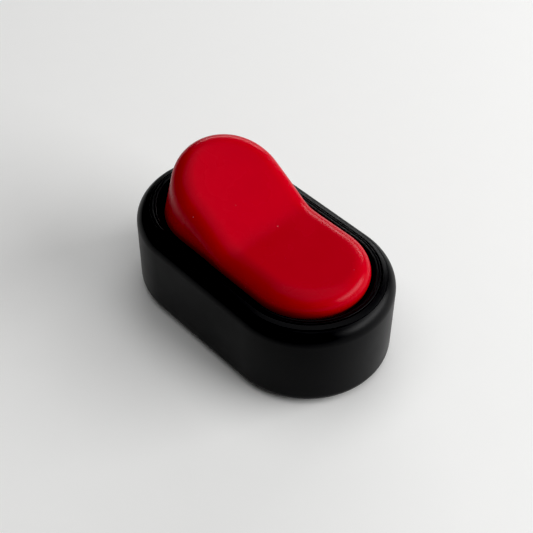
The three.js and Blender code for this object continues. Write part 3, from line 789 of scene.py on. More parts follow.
@dataclass
class Case:
    """The black outer shell and the rim ring that lies in it."""

    wall: float = 2.2
    shoulder: float = 4.5
    foot_round: float = 3.0
    ring_inset: float = 3.7
    opening_inset: float = 5.5
    seat_thick: float = 1.4
    ring_thick: float = 1.8
    ring_width: float = 1.7
    ring_edge: float = 0.2  # round on the ring's outer edge
    ring_round: float = 0.35  # round on its inner edge
    line_inset: float = 0.75  # a fine turned line on the ring's top
    line_width: float = 0.12
    line_depth: float = 0.05
    lip_height: float = 3.0
    lip_slope: float = 1.5
    groove_inset: float = 2.2  # a fine line moulded into the shoulder
    groove_width: float = 0.26
    groove_depth: float = 0.1
    rim_edge: float = 0.16  # round on the shell's inner edge, beside the ring
    boss_x: float = 13.0
    boss_y: float = 14.7
    boss_radius: float = 2.3
    boss_height: float = 10.0
    boss_end: float = 1.5  # plastic beyond the end of the pilot hole
    pilot_radius: float = 1.1
    rib_half: float = 0.8
    sink: float = 0.3  # how deep a moulded feature is set into the wall
    pin_radius: float = 1.25
    pin_engage: float = 1.6
    bearing_side: float = 1.75  # plastic on each side of the pin
    bearing_foot: float = 2.75  # plastic under it
    running_gap: float = 0.1

    def __post_init__(self) -> None:
        """Read the case's own box."""
        low, high = box_mm("case_shell")
        self.radius = high.y
        self.half_straight = high.x - high.y
        self.base = low.z
        self.rim = high.z
        self.pivot = sum(corner.z for corner in box_mm("pivot_pin")) / 2

    def _shoulder_angle(self, inset: float) -> float:
        """Give the angle on the shoulder's arc, in degrees, at an inset from the outline."""
        return math.degrees(math.acos(1 - inset / self.shoulder))

    def shell(self) -> bpy.types.Object:
        """Model the shell: its swept wall, screw bosses, ribs and pin bearings.

        Returns:
            The shell.
        """
        base, rim = self.base, self.rim
        centre = (self.shoulder, rim - self.shoulder)
        before = self._shoulder_angle(self.groove_inset - self.groove_width / 2)
        after = self._shoulder_angle(self.groove_inset + self.groove_width / 2)
        last = self._shoulder_angle(self.ring_inset - self.rim_edge)
        seat = rim - self.ring_thick
        pen = OblongPen("case_shell_moulded", self.half_straight, self.radius, start=(self.foot_round, base))
        pen.arc((self.foot_round, base + self.foot_round), -90, 8)
        pen.line(0, rim - self.shoulder)
        pen.arc(centre, -before, 12)
        inset, height = pen.at
        landing = math.radians(after)
        inset_after = self.shoulder * (1 - math.cos(landing))
        height_after = rim - self.shoulder + self.shoulder * math.sin(landing)
        middle = ((inset + inset_after) / 2, (height + height_after) / 2)
        pen.line(middle[0] + self.groove_depth / 2, middle[1] - self.groove_depth)
        pen.line(inset_after, height_after)
        pen.arc(centre, -(last - after), 6)
        pen.arc((pen.at[0], pen.at[1] - self.rim_edge), -90, 4)
        pen.line(self.ring_inset, seat)
        pen.line(self.opening_inset, seat)
        pen.line(self.opening_inset, seat - self.seat_thick)
        pen.line(self.wall, seat - self.seat_thick - (self.opening_inset - self.wall))
        pen.line(self.wall, base + self.lip_height + self.lip_slope)
        pen.line(self.ring_inset, base + self.lip_height)
        pen.line(self.ring_inset, base)
        shell = pen.sweep()
        self._add_bearings(shell, seat)
        self._add_bosses(shell)
        return shell

    def _add_bearings(self, shell: bpy.types.Object, seat: float) -> None:
        """Add the two blocks that carry the pivot pin, each with its open slot.

        Args:
            shell: The shell.
            seat: Height of the ring's seat.
        """
        inner = self.radius - self.opening_inset
        outer = self.radius - self.wall + self.sink
        half = self.pin_radius + self.bearing_side
        slot_half = self.pin_radius + self.running_gap
        deep = self.pivot - self.pin_radius - self.bearing_foot
        blocks, slots, cradles = [], [], []
        for side in (1, -1):
            ends = sorted((side * inner, side * outer))
            cut = sorted((side * (inner - 0.5), side * (inner + self.pin_engage + self.sink)))
            blocks.append(block("bearing", (-half, ends[0], deep), (half, ends[1], seat)))
            slots.append(block("slot", (-slot_half, cut[0], self.pivot), (slot_half, cut[1], seat + 0.5)))
            middle = (0, sum(cut) / 2, self.pivot)
            cradles.append(disc("cradle", middle, slot_half, cut[1] - cut[0], 32, "Y"))
        work(shell, Join.ADD, blocks)
        work(shell, Join.CUT, slots)
        work(shell, Join.CUT, cradles)

    def _add_bosses(self, shell: bpy.types.Object) -> None:
        """Add the four screw bosses, each tied to the wall by a rib.

        Args:
            shell: The shell.
        """
        low = self.base + self.lip_height
        high = low + self.boss_height
        bosses, ribs, pilots = [], [], []
        for end in (1, -1):
            for side in (1, -1):
                x, y = end * self.boss_x, side * self.boss_y
                wall = self.radius - self.wall + self.sink
                reach = sorted((side * (self.boss_y + self.boss_radius / 2), side * wall))
                bosses.append(post("boss", x, y, low, high, self.boss_radius))
                ribs.append(block("rib", (x - self.rib_half, reach[0], low), (x + self.rib_half, reach[1], high)))
                pilots.append(post("pilot", x, y, low - PAST, high - self.boss_end, self.pilot_radius, 24))
        work(shell, Join.ADD, ribs)
        work(shell, Join.ADD, bosses)
        work(shell, Join.CUT, pilots)

    def ring(self) -> bpy.types.Object:
        """Model the rim ring, with a wider round on its inner edge and a fine turned line on its top.

        Returns:
            The ring.
        """
        low, high = box_mm("bezel_ring")
        outer = self.radius - high.y
        inner = self.ring_inset + self.ring_width
        top = high.z
        edge, wide, half = self.ring_edge, self.ring_round, self.line_width / 2
        pen = OblongPen("bezel_ring_moulded", self.half_straight, self.radius, start=(outer, low.z))
        pen.line(outer, top - edge)
        pen.arc((outer + edge, top - edge), -90, 3)
        line_at = outer + self.line_inset
        pen.line(line_at - half, top)
        pen.line(line_at, top - self.line_depth)
        pen.line(line_at + half, top)
        pen.line(inner - wide, top)
        pen.arc((inner - wide, top - wide), -90, 5)
        pen.line(inner, low.z)
        return pen.sweep()

    def build(self) -> None:
        """Build and set down the shell and the ring."""
        set_down(self.shell(), CASE_ABS, Body.ROOT, ["case_shell"])
        set_down(self.ring(), CASE_ABS, Body.ROOT, ["bezel_ring"], 40)


# ---- the rocker -------------------------------------------------------------------------------------------------


@dataclass
class Rocker:
    """The red cap: two lobes with a soft valley between them, tipping on a pin."""

    half_width: float = 15.4
    half_straight: float = 14.0
    wall: float = 2.0
    edge: float = 5.5  # round-over of the top edge
    valley: float = 7.55  # height of the valley above the pivot
    slope: float = 17.5  # of each lobe, in degrees
    blend: float = 0.95
    crown: float = 0.0033  # how fast the raised lobe falls away
    tilt: float = 16.5
    travel: float = 24.0
    hidden: float = 1.2
    pivot_drop: float = 3.2
    lug_radius: float = 3.3
    lug_length: float = 4.4
    pin_hole: float = 1.35
    spring_x: float = -9.0
    spring_face: float = 4.5
    post_x: float = -15.0
    post_end: float = 0.65
    blank: float = 20.0  # height of the flat top that the wave is then pressed into
    sink: float = 0.5  # how deep a lug is set into the wall
    seat_radius: float = 4.0
    pilot_radius: float = 1.5
    pilot_height: float = 2.0
    post_radius: float = 2.2
    screw_hole: tuple[float, float] = (0.9, 4.0)  # radius and depth
    end_steps: int = 48
    mark: tuple[float, float] = (-16.6, 12.3)  # a small moulding mark on the far edge of the crest
    mark_height: float = 0.2
    mark_width: float = 0.5
    columns: int = 56
    edge_rows: int = 16
    rungs: int = 22

    def top(self, x: float) -> float:
        """Give the height of the top surface above the pivot.

        Args:
            x: The place along the cap.

        Returns:
            The height: two slopes that meet in a soft valley, less the raised lobe's crown.
        """
        rise = self.blend * sum(math.log1p(math.exp(away / self.blend)) for away in (x, -x))
        crown = self.crown * x * x if x < 0 else 0.0
        return self.valley + math.tan(math.radians(self.slope)) * rise - crown

    def bottom(self, x: float) -> float:
        """Give the height of the skirt's edge, which stays below the rim at both ends of the travel."""
        angle = math.radians(self.tilt if x < 0 else self.travel - self.tilt)
        return (self.pivot_drop - self.hidden) / math.cos(angle) - abs(x) * math.tan(angle)

    def _outline(self) -> bpy.types.Object:
        """Draw the oblong ring of points that the cap's wall grows from.

        Returns:
            The ring, left in edit mode with all of it selected.
        """
        cap = first_point("rocker_cap_moulded", (self.half_straight, -self.half_width, 0))
        for end in (1, -1):
            spin((end * self.half_straight, 0, 0), (0, 0, 1), 180, self.end_steps)
            stride = -2 * end * self.half_straight / self.columns
            for _ in range(self.columns):
                bpy.ops.mesh.extrude_vertices_move(TRANSFORM_OT_translate={"value": (stride, 0, 0)})
        bpy.ops.mesh.select_all(action="SELECT")
        bpy.ops.mesh.remove_doubles(threshold=NEAR)
        return cap

    def _draw_in(self, cap: bpy.types.Object, height: float, share: float) -> None:
        """Scale the ring at a height inwards: the ends about their own centres, the straight sides across.

        Args:
            cap: The cap in edit mode. The ring is left selected.
            height: The ring's height.
            share: What is left of its half width.
        """
        reach = self.half_straight - NEAR

        def level(place: Vector) -> bool:
            """Say whether a place is on the ring."""
            return abs(place.z - height) < 1e-4

        choose(cap, lambda place: level(place) and place.x > reach)
        bpy.ops.transform.resize(value=(share, share, 1), center_override=(self.half_straight, 0, height))
        choose(cap, lambda place: level(place) and place.x < -reach)
        bpy.ops.transform.resize(value=(share, share, 1), center_override=(-self.half_straight, 0, height))
        choose(cap, lambda place: level(place) and abs(place.x) <= reach)
        bpy.ops.transform.resize(value=(1, share, 1), center_override=(0, 0, height))
        choose(cap, level)

    def skin(self) -> bpy.types.Object:
        """Model the cap's outer skin, open below: wall, round-over and top, then the wave.

        Returns:
            The skin, with the pivot at the origin.
        """
        cap = self._outline()
        flat = self.blank
        shoulder = flat - self.edge
        for level in (0.35 * shoulder, 0.7 * shoulder, shoulder):
            mesh = bmesh.from_edit_mesh(cap.data)
            now = max(v.co.z for v in mesh.verts if v.select)
            bpy.ops.mesh.extrude_region_move(TRANSFORM_OT_translate={"value": (0, 0, level - now)})
        inset, height = 0.0, shoulder
        for row in range(1, self.edge_rows + 1):
            angle = math.pi / 2 * row / self.edge_rows
            next_inset = self.edge * (1 - math.cos(angle))
            next_height = flat - self.edge * (1 - math.sin(angle))
            bpy.ops.mesh.extrude_region_move(TRANSFORM_OT_translate={"value": (0, 0, next_height - height)})
            share = (self.half_width - next_inset) / (self.half_width - inset)
            self._draw_in(cap, next_height, share)
            inset, height = next_inset, next_height
        self._close_top(cap, flat)
        bpy.ops.object.mode_set(mode="OBJECT")
        for vertex in cap.data.vertices:
            x, z = vertex.co.x, vertex.co.z
            low, high = self.bottom(x), self.top(x) - self.edge
            from_mark = math.hypot(x - self.mark[0], vertex.co.y - self.mark[1])
            if z <= shoulder + 1e-4:
                vertex.co.z = low + (high - low) * z / shoulder
            else:
                mark = self.mark_height * math.exp(-((from_mark / self.mark_width) ** 2))
                vertex.co.z = self.top(x) - (flat - z) + mark
        return cap

    def _close_top(self, cap: bpy.types.Object, flat: float) -> None:
        """Bridge the two long sides of the top ring, and fill the small gap left at each end.

        Args:
            cap: The cap in edit mode.
            flat: The top ring's height.
        """
        tip = self.half_straight + (self.half_width - self.edge) - 1e-4
        choose(cap, lambda place: abs(place.z - flat) < 1e-4 and abs(place.x) < tip)
        bpy.ops.mesh.bridge_edge_loops(number_cuts=self.rungs, smoothness=0, interpolation="LINEAR")
        bpy.ops.mesh.select_all(action="DESELECT")
        bpy.ops.mesh.select_mode(type="EDGE")
        mesh = bmesh.from_edit_mesh(cap.data)
        for edge in mesh.edges:
            edge.select_set(edge.is_boundary and all(v.co.z > flat - NEAR for v in edge.verts))
        bmesh.update_edit_mesh(cap.data)
        bpy.ops.mesh.fill(use_beauty=True)
        bpy.ops.mesh.select_all(action="SELECT")
        bpy.ops.mesh.normals_make_consistent(inside=False)

    def build(self) -> None:
        """Build and set down the cap: its shell, the lugs for the pin, the spring seat and the contact post."""
        cap = self.skin()
        activate(cap)
        shell = cap.modifiers.new("wall", "SOLIDIFY")
        shell.thickness = self.wall
        shell.offset = -1
        shell.use_even_offset = True
        bpy.ops.object.modifier_apply(modifier=shell.name)
        lugs = []
        for side in (1, -1):
            middle = side * (self.half_width - self.lug_length / 2)
            lugs.append(disc("lug", (0, middle, 0), self.lug_radius, self.lug_length, 48, "Y"))
        seat_top, post_top = (self.top(x) - self.wall + self.sink for x in (self.spring_x, self.post_x))
        face, end = self.spring_face, self.post_end
        lugs.append(post("spring_seat", self.spring_x, 0, face, seat_top, self.seat_radius, 48))
        lugs.append(post("contact_post", self.post_x, 0, end, post_top, self.post_radius))
        work(cap, Join.ADD, lugs)
        work(cap, Join.ADD, [
            post("spring_pilot", self.spring_x, 0, face - self.pilot_height, face + self.sink, self.pilot_radius, 24)
        ])
        hole_radius, hole_depth = self.screw_hole
        work(cap, Join.CUT, [
            disc("pin_hole", (0, 0, 0), self.pin_hole, 3 * self.half_width, 32, "Y"),
            post("screw_hole", self.post_x, 0, end - PAST, end + hole_depth, hole_radius, 20),
        ])
        low, high = box_mm("pivot_pin")
        cap.rotation_euler = (0, math.radians(self.tilt), 0)
        cap.location = (0, 0, (low.z + high.z) / 2)
        set_down(cap, CAP_ABS, Body.ROCKER, ["rocker_cap"], 45)


# ---- underside --------------------------------------------------------------------------------------------------


@dataclass
class Underside:
    """The base plate with the battery compartment on it, and the battery door."""

    half_straight: float = 16.3
    plate_thick: float = 3.0
    plate_round: float = 0.25
    sink: float = 0.5  # how deep one feature is set into the next
    wall: float = 1.1  # of the compartment
    pocket: tuple[float, float] = (24.2, 10.85)  # half length and half width inside the compartment
    corner_top: float = 10.45
    roof_straight: float = 13.0
    roof_radius: float = 12.0
    roof_under: float = 12.75
    roof_top: float = 14.25
    roof_round: float = 0.6
    rest_stop: tuple[float, float] = (2.2, 11.05)  # radius and height
    press_stop: tuple[float, float, float] = (29.4, 2.5, 10.78)  # reach, half width and height
    press_gap: float = 0.6  # from the stop to the compartment's wall
    press_round: float = 0.2
    board_post: tuple[float, float] = (2.0, 15.45)  # radius and height
    board_screw: tuple[float, float] = (15.5, 8.6)
    board_hole: tuple[float, float] = (1.1, 0.6)  # radius, and the plastic left under it
    case_hole: tuple[float, float, float] = (2.1, 1.7, 1.2)  # radius and depth for the head, radius for the shank
    pad_gap: float = 0.1
    spring_seat: tuple[float, float, float] = (-8.4, 4.6, 17.65)  # place along X, radius and height
    tail_slot: tuple[float, float, float, float] = (23.45, 24.45, 5.4, 1.1)  # start, end, middle and half width
    door_half: tuple[float, float] = (25.5, 12.15)
    door_thick: float = 1.5
    door_round: float = 0.2
    door_gap: float = 0.2
    door_room: float = 0.1  # above the door
    tongue: tuple[float, float] = (30.3, 3.2)  # how far it reaches, and its half width
    tongue_round: float = 1.0
    tabs: tuple[float, float, float, float] = (26.6, 6.0, 2.0, 0.7)  # reach, middle, half width and thickness
    tab_drop: float = 0.05  # from the door's inside down to the tab's top
    tab_round: float = 0.1
    tab_slot: tuple[float, float, float] = (0.3, 0.15, 2.4)  # room beyond a tab and under it, and the slot's top
    screw_x: float = 27.6
    screw_hole: tuple[float, float] = (1.45, 2.0)  # radius in the plate, and the plastic left above it
    screw_seat: tuple[float, float, float] = (1.2, 2.0, 0.8)  # in the door: shank radius, head radius and depth
    grooves: int = 7
    groove_pitch: float = 2.4
    groove: tuple[float, float, float, float] = (0.5, 7.0, 0.4, 0.15)  # half width, half length, depth and round

    def __post_init__(self) -> None:
        """Read the plate's own box."""
        low, high = box_mm("base_plate")
        self.base = low.z
        self.radius = high.y

    def _up(self, height: float) -> float:
        """Turn a height above the underside into one above the floor."""
        return self.base + height

    def plate(self) -> bpy.types.Object:
        """Model the base plate: compartment, stops, spring seat and screw posts, then what is cut from them.

        Returns:
            The plate.
        """
        up = self._up
        plate = oblong_plate("base_plate_moulded", self.half_straight, self.radius, up(0), up(self.plate_thick))
        bevel_edges(plate, lambda place: place.z < up(0) + NEAR, self.plate_round, 3)
        root = up(self.plate_thick - self.sink)
        half_x, half_y = self.pocket[0] + self.wall, self.pocket[1] + self.wall
        work(plate, Join.ADD, [block("walls", (-half_x, -half_y, root), (half_x, half_y, up(self.corner_top)))])
        roof = oblong_plate("roof", self.roof_straight, self.roof_radius, root, up(self.roof_top))
        bevel_edges(roof, lambda place: place.z > up(self.roof_top) - NEAR, self.roof_round, 3)
        work(plate, Join.ADD, [roof])
        seat_x, seat_radius, seat_top = self.spring_seat
        screw_x, screw_y = self.board_screw
        rest_radius, rest_top = self.rest_stop
        reach, half, press_top = self.press_stop
        post_radius, post_top = self.board_post
        deep = up(self.roof_top - self.sink)
        end = -half_x - self.press_gap
        work(plate, Join.ADD, [
            post("rest_stop", self.screw_x, 0, root, up(rest_top), rest_radius),
            block("press_stop", (-reach, -half, root), (end, half, up(press_top)), self.press_round),
            post("spring_seat", seat_x, 0, deep, up(seat_top), seat_radius, 48),
            post("board_post", screw_x, -screw_y, deep, up(post_top), post_radius),
            post("board_post", -screw_x, screw_y, deep, up(post_top), post_radius),
        ])
        self._hollow(plate)
        return plate

    def _hollow(self, plate: bpy.types.Object) -> None:
        """Cut the compartment, the door's recess and every hole.

        Args:
            plate: The plate.
        """
        up, below = self._up, self.base - PAST
        pocket_x, pocket_y = self.pocket
        door_x, door_y = (half + self.door_gap for half in self.door_half)
        recess = up(self.door_thick + self.door_room)
        reach, half = (size + self.door_gap for size in self.tongue)
        for low, high in (
            ((-pocket_x, -pocket_y, below), (pocket_x, pocket_y, up(self.roof_under))),
            ((-door_x, -door_y, below), (door_x, door_y, recess)),
            ((door_x - PAST, -half, below), (reach, half, recess)),
        ):
            work(plate, Join.CUT, [block("recess", low, high)])
        tab_reach, tab_middle, tab_half, tab_thick = self.tabs
        beyond, under, slot_top = self.tab_slot
        slot_low = up(self.door_thick - tab_thick - under)
        start, end, tail_middle, tail_half = self.tail_slot
        screw_x, screw_y = self.board_screw
        board_radius, board_floor = self.board_hole
        post_top, rest_top = self.board_post[1], self.rest_stop[1]
        hole_radius, hole_roof = self.screw_hole
        holes = [post("door_screw_hole", self.screw_x, 0, below, up(rest_top - hole_roof), hole_radius, 24)]
        for side in (1, -1):
            middle, tail = side * tab_middle, side * tail_middle
            edge = tab_half + self.door_gap
            holes += [
                block(
                    "tab_slot", (-tab_reach - beyond, middle - edge, slot_low),
                    (-pocket_x + self.door_room, middle + edge, up(slot_top)),
                ),
                block(
                    "tail_slot", (start, tail - tail_half, up(self.roof_under - PAST)),
                    (end, tail + tail_half, up(self.roof_top + PAST)),
                ),
                post(
                    "board_screw_hole", -side * screw_x, side * screw_y, up(self.roof_under + board_floor),
                    up(post_top + PAST), board_radius, 24,
                ),
            ]
        work(plate, Join.CUT, holes)
        head_radius, head_depth, shank_radius = self.case_hole
        heads, shanks, pads = [], [], []
        for number in range(1, 5):
            x, y, _ = middle_of(f"case_screw_{number}")
            heads.append(post("head", x, y, below, up(head_depth), head_radius, 40))
            shanks.append(post("shank", x, y, below, up(self.plate_thick + PAST), shank_radius, 24))
            low, high = box_mm(f"foot_pad_{number}")
            x, y, _ = middle_of(f"foot_pad_{number}")
            pads.append(post("pad", x, y, below, high.z, (high.x - low.x) / 2 + self.pad_gap, 48))
        for tools in (heads, shanks, pads):
            work(plate, Join.CUT, tools)

    def door(self) -> bpy.types.Object:
        """Model the battery door: its tongue, hook tabs, grip grooves and countersunk screw hole.

        Returns:
            The door.
        """
        up = self._up
        half_x, half_y = self.door_half
        inside = up(self.door_thick)
        reach, half = self.tongue
        door = block("battery_door_moulded", (-half_x, -half_y, up(0)), (half_x, half_y, inside))
        work(door, Join.ADD, [block("tongue", (half_x - self.sink, -half, up(0)), (reach, half, inside))])
        bevel_edges(door, lambda place: place.x > reach - NEAR and abs(place.y) > half - NEAR, self.tongue_round, 5)
        tab_reach, tab_middle, tab_half, tab_thick = self.tabs
        work(door, Join.ADD, [
            block(
                "tab", (-tab_reach, side * tab_middle - tab_half, inside - tab_thick),
                (-half_x + self.sink, side * tab_middle + tab_half, inside - self.tab_drop), self.tab_round,
            )
            for side in (1, -1)
        ])
        bevel_edges(door, lambda place: place.z < up(0) + NEAR, self.door_round, 3)
        first = -(self.grooves - 1) / 2
        half, length, depth, rounded = self.groove
        middles = [(first + i) * self.groove_pitch for i in range(self.grooves)]
        work(door, Join.CUT, [
            block("groove", (x - half, -length, up(-PAST)), (x + half, length, up(depth)), rounded) for x in middles
        ])
        shank, head, seat = self.screw_seat
        work(door, Join.CUT, [post("screw_hole", self.screw_x, 0, up(-PAST), up(2 * self.door_thick), shank, 24)])
        work(door, Join.CUT, [post("screw_head", self.screw_x, 0, up(-PAST), up(seat), head, 40)])
        return door

    def build(self) -> None:
        """Build and set down the plate and the door."""
        set_down(self.plate(), CASE_ABS, Body.ROOT, ["base_plate"])
        set_down(self.door(), CASE_ABS, Body.DOOR, ["battery_door"])


@dataclass
class Fixings:
    """Screws, foot pads, the pivot pin and the springs."""

    head_round: float = 0.35
    tip_bevel: float = 0.3
    slot_length: float = 2.4
    slot_width: float = 0.46
    slot_depth: float = 0.6  # of the cross recess, as a share of the head's height
    pad_round: float = 0.3
    pin_bevel: float = 0.25
    return_x: float = -8.4
    return_spring: tuple[float, float, float] = (3.2, 0.4, 5)  # radius, wire's radius and turns
    return_keep: float = 0.66  # share of its length that is left when the cap is pressed
    battery_spring: tuple[float, float, float, float] = (4.0, 0.3, 3, 2.0)  # the same, and the end's radius

    def screw(self, radius: float, head: float, shank: float, length: float) -> bpy.types.Object:
        """Model a pan-head screw with a cross recess. It stands on its head at the origin.

        Args:
            radius: Radius of the head.
            head: Height of the head.
            shank: Radius of the shank.
            length: Length over all.

        Returns:
            The screw.
        """
        screw = post("screw", 0, 0, 0, head, radius, 48)
        bevel_edges(screw, lambda place: place.z < NEAR, self.head_round, 5)
        stem = post("stem", 0, 0, head - 0.1, length, shank, 24)
        bevel_edges(stem, lambda place: place.z > length - NEAR, self.tip_bevel, 3)
        work(screw, Join.ADD, [stem])
        for x, y in ((self.slot_length, self.slot_width), (self.slot_width, self.slot_length)):
            slot = block("cross", (-x / 2, -y / 2, -PAST), (x / 2, y / 2, self.slot_depth * head))
            work(screw, Join.CUT, [slot])
        return screw

    def _screws(self, nodes: Sequence[str], body: Body, head: float, shank: float, head_below: bool = True) -> None:
        """Build and set down the screws of one size.

        Args:
            nodes: The frame's nodes that they stand for.
            body: The body that they move with.
            head: Height of their heads.
            shank: Radius of their shanks.
            head_below: Whether they are driven upwards.
        """
        low, high = box_mm(nodes[0])
        master = self.screw((high.x - low.x) / 2, head, shank, high.z - low.z)
        for node in nodes:
            low, high = box_mm(node)
            place = (*middle_of(node).xy, low.z if head_below else high.z)
            turn = (0 if head_below else math.pi, 0, 0)
            set_down(copied(master, f"{node}_turned", place, turn), ZINC_STEEL, body, [node])
        discard(master)

    def _foot_pads(self) -> None:
        """Build and set down the rubber pads, each with a round lower edge."""
        low, high = box_mm("foot_pad_1")
        master = post("foot_pad", 0, 0, 0, high.z - low.z, (high.x - low.x) / 2, 48)
        bevel_edges(master, lambda place: place.z < NEAR, self.pad_round, 5)
        for number in range(1, 5):
            node = f"foot_pad_{number}"
            place = (*middle_of(node).xy, box_mm(node)[0].z)
            set_down(copied(master, f"{node}_moulded", place), FOOT_RUBBER, Body.ROOT, [node])
        discard(master)

    def build(self) -> None:
        """Build and set down every fixing."""
        self._screws([f"case_screw_{number}" for number in range(1, 5)], Body.ROOT, 1.2, 1.0)
        self._screws(["battery_door_screw"], Body.DOOR, 0.7, 1.0)
        self._screws(["board_screw_1", "board_screw_2"], Body.ROOT, 1.1, 0.9, head_below=False)
        self._foot_pads()
        self._pin()
        self._springs()

    def _pin(self) -> None:
        """Build the ground steel pivot pin, chamfered at both ends."""
        low, high = box_mm("pivot_pin")
        pin = disc("pivot_pin_ground", middle_of("pivot_pin"), (high.x - low.x) / 2, high.y - low.y, 48, "Y")
        bevel_all(pin, self.pin_bevel, 3)
        set_down(pin, SPRING_STEEL, Body.ROOT, ["pivot_pin"])

    def _springs(self) -> None:
        """Wind the return spring and the two conical battery springs."""
        low, high = box_mm("return_spring")
        foot = (self.return_x, 0, low.z)
        radius, wire, turns = self.return_spring
        spring = coil("return_spring_wound", foot, high.z - low.z, radius, wire, turns, radius)
        set_down(spring, SPRING_STEEL, Body.ROOT, ["return_spring"], 60)
        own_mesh(spring)
        low, high = box_mm("battery_spring_1")
        master = coil("battery_spring", (0, 0, 0), high.x - low.x, *self.battery_spring)
        for number, facing in ((1, 1), (2, -1)):
            node = f"battery_spring_{number}"
            low, high = box_mm(node)
            place = (low.x if facing > 0 else high.x, *middle_of(f"battery_cell_{number}").yz)
            spring = copied(master, f"{node}_wound", place, (0, facing * math.pi / 2, 0))
            set_down(spring, SPRING_STEEL, Body.ROOT, [node], 60)
        discard(master)


@dataclass
class Electrics:
    """The circuit board and what stands on it: frame nodes whose shape is right, given their real finishes."""

    code: tuple[tuple[float, float, str], ...] = (  # the resistor's colour bands, from its middle
        (-2.3, -1.8, "6b3a1c"), (-1.1, -0.7, "1a1a1a"), (-0.2, 0.2, "c0392b"), (1.5, 1.9, "b08d3a"),
    )
    finishes: dict[str, Finish] = field(init=False)

    def __post_init__(self) -> None:
        """Choose each node's finish."""
        middle = middle_of("base_resistor").x
        bands = tuple((middle + start, middle + end, tint) for start, end, tint in self.code)
        tan = Banded("tan_resistor_lacquer", "resistor_lacquer", "c9ae80", 0.45, bands=bands)
        sleeve = Banded("blue_capacitor_sleeve", "capacitor_sleeve", "22407a", 0.3, axis=2)
        self.finishes = {
            "circuit_board": BOARD_MASK,
            "buzzer": MOULDED_EPOXY,
            "drive_transistor": MOULDED_EPOXY,
            "base_resistor": tan,
            "capacitor": sleeve,
            "contact_bridge": CONTACT_BRASS,
            "bridge_screw": ZINC_STEEL,
            "fixed_contact_1": CONTACT_BRASS,
            "fixed_contact_2": CONTACT_BRASS,
            "positive_terminal": CONTACT_BRASS,
            "negative_terminal": CONTACT_BRASS,
            "cell_bridge_contact": ZINC_STEEL,
        }

    def build(self, nodes: dict[str, bpy.types.Object]) -> None:
        """Dress the frame's own nodes.

        Args:
            nodes: The frame's nodes by name.
        """
        for name, finish in self.finishes.items():
            nodes[name].data.materials.clear()
            nodes[name].data.materials.append(finish.build())
            LOG.info("%s: dressed", name)


@dataclass
class Cells:
    """The two AAA cells, in a plain grey film with a coloured end band."""

    crimp: float = 0.35
    nub_length: float = 1.0
    nub_radius: float = 1.9
    nub_round: float = 0.25
    neck_at: float = 3.1  # the crimped neck, measured from the tip
    neck_width: float = 0.5
    neck_depth: float = 0.12
    band_end: float = 12.0  # the coloured band, measured from the tip
    bare_end: float = 1.4  # bare metal beyond the film

    def cell(self, length: float, radius: float) -> bpy.types.Object:
        """Model a cell along X about the origin, with its positive end at +X.

        Args:
            length: Length over the nub.
            radius: Radius of the can.

        Returns:
            The cell.
        """
        tip = length / 2
        cell = disc("cell", (-self.nub_length / 2, 0, 0), radius, length - self.nub_length, 64, "X")
        bevel_all(cell, self.crimp, 4)
        nub = disc("nub", (tip - self.nub_length, 0, 0), self.nub_radius, 2 * self.nub_length, 40, "X")
        bevel_all(nub, self.nub_round, 3)
        work(cell, Join.ADD, [nub])
        at = (tip - self.neck_at, 0, 0)
        neck = disc("neck", at, radius + PAST, self.neck_width, 64, "X")
        work(neck, Join.CUT, [disc("core", at, radius - self.neck_depth, 2 * self.neck_width, 64, "X")])
        work(cell, Join.CUT, [neck])
        return cell

    def build(self) -> None:
        """Build and set down both cells, which point opposite ways."""
        low, high = box_mm("battery_cell_1")
        master = self.cell(high.x - low.x, (high.z - low.z) / 2)
        for number, facing in ((1, 1), (2, -1)):
            node = f"battery_cell_{number}"
            low, high = box_mm(node)
            tip = high.x if facing > 0 else low.x
            bare = tip - facing * self.bare_end
            ends = ((tip - facing * self.band_end, bare, "b3722c"), (bare, tip + facing, "c9cbce"))
            bands = tuple((min(start, end), max(start, end), tint) for start, end, tint in ends)
            film = Banded(f"cell_film_{number}", "cell_wrap", "3b3f45", 0.28, tone_shift=0.03, bands=bands)
            turn = (0, 0, 0 if facing > 0 else math.pi)
            set_down(copied(master, f"{node}_drawn", middle_of(node), turn), film, Body.ROOT, [node])
        discard(master)


# ---- studio -----------------------------------------------------------------------------------------------------


@dataclass(frozen=True)
class SoftLight:
    """A rectangular soft light that looks at the buzzer."""

    name: str
    bearing: float  # from +X towards +Y, in degrees
    elevation: float  # above the floor, in degrees
    distance: float  # in metres
    size: tuple[float, float]  # width and height, in metres
    power: float  # in watts

    def build(self) -> None:
        """Add the light."""
        bearing, rise = math.radians(self.bearing), math.radians(self.elevation)
        away = Vector((math.cos(bearing) * math.cos(rise), math.sin(bearing) * math.cos(rise), math.sin(rise)))
        deselect_all()
        bpy.ops.object.light_add(type="AREA", location=away * self.distance)
        light = bpy.context.object
        light.name = self.name
        light.data.shape = "RECTANGLE"
        light.data.size, light.data.size_y = self.size
        light.data.energy = self.power
        light.rotation_euler = away.to_track_quat("Z", "Y").to_euler()


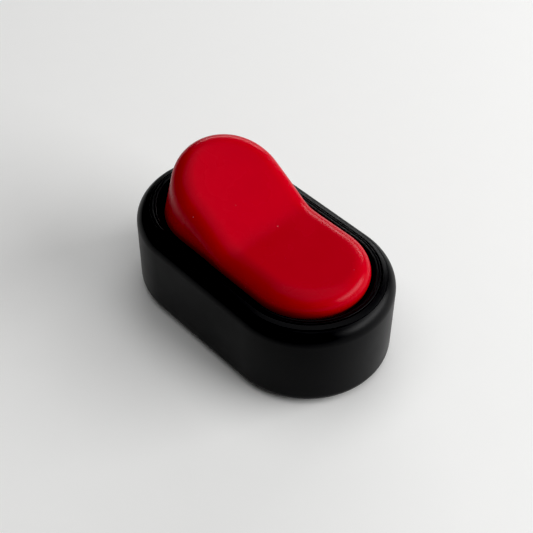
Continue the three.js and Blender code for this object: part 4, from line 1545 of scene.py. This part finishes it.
@dataclass
class Studio:
    """Camera, soft lights and the pale floor."""

    lights: tuple[SoftLight, ...] = (
        SoftLight("key", 36, 24, 0.9, (1.0, 0.36), 8.6),
        SoftLight("back", 125, 18, 1.0, (1.0, 0.16), 3.2),
        SoftLight("top", 0, 89, 1.1, (1.4, 1.4), 7.4),
    )
    azimuth: float = 47.02
    elevation: float = 44.83
    distance_mm: float = 282.5
    roll: float = 0.51
    lens: float = 74.05
    aim_mm: tuple[float, float, float] = (-0.35, 1.74, 12.73)
    floor_radius: float = 1.0  # in metres
    floor_gap: float = 0.00005
    fill: float = 0.08  # light from the room itself
    backdrop_glow: float = 0.75
    gamma: float = 0.86
    black: float = 0.0105  # darkest tone that still shows, as in a picture with strong contrast

    def camera(self) -> None:
        """Place the camera, looking down at the front right corner of the case."""
        azimuth, elevation, roll = (math.radians(a) for a in (self.azimuth, self.elevation, self.roll))
        flat = math.cos(elevation)
        back = Vector((math.sin(azimuth) * flat, -math.cos(azimuth) * flat, math.sin(elevation)))
        right = Vector((math.cos(azimuth), math.sin(azimuth), 0))
        up = back.cross(right)
        right, up = (
            right * math.cos(roll) + up * math.sin(roll),
            up * math.cos(roll) - right * math.sin(roll),
        )
        deselect_all()
        bpy.ops.object.camera_add()
        camera = bpy.context.object
        camera.name = "camera"
        camera.data.lens = self.lens
        camera.data.clip_start = 0.01
        camera.matrix_world = Matrix.Translation(Vector(self.aim_mm) * MM + back * self.distance_mm * MM) @ Matrix(
            (right, up, back)
        ).transposed().to_4x4()
        bpy.context.scene.camera = camera

    def floor(self) -> None:
        """Lay the pale floor, a wide disc."""
        deselect_all()
        bpy.ops.mesh.primitive_circle_add(
            vertices=128, radius=self.floor_radius, fill_type="NGON", location=(0, 0, -self.floor_gap)
        )
        floor = bpy.context.object
        floor.name = "floor"
        paint = Finish("pale_floor_paint", "", "f4f4f3", 0.7, specular=0.2, tone_shift=0.005, grain_depth_mm=0.001)
        floor.data.materials.append(paint.build())

    def build(self) -> None:
        """Build the camera, the lights and the floor."""
        self.camera()
        self.floor()
        for light in self.lights:
            light.build()
        self.backdrop()
        view = bpy.context.scene.view_settings
        view.view_transform = "Standard"
        view.gamma = self.gamma
        view.use_curve_mapping = True
        view.curve_mapping.black_level = (self.black,) * 3
        view.curve_mapping.update()

    def backdrop(self) -> None:
        """Give the room a pale backdrop that adds only a little light of its own."""
        world = bpy.data.worlds.new("studio")
        world.use_nodes = True
        tree = world.node_tree
        background = tree.nodes["Background"]
        background.inputs["Color"].default_value = (1, 1, 1, 1)
        seen = add_node(tree, "ShaderNodeLightPath").outputs["Is Camera Ray"]
        glow = add_node(tree, "ShaderNodeMapRange", _0=seen, _3=self.fill, _4=self.backdrop_glow)
        tree.links.new(glow.outputs[0], background.inputs["Strength"])
        bpy.context.scene.world = world


def main() -> None:
    """Build the buzzer on its frame."""
    logging.basicConfig(level=logging.INFO, format="%(message)s")
    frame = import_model()
    for group in (Studio, Case, Rocker, Underside, Fixings, Cells):
        group().build()
    Electrics().build(frame["nodes"])


if __name__ == "__main__":
    main()
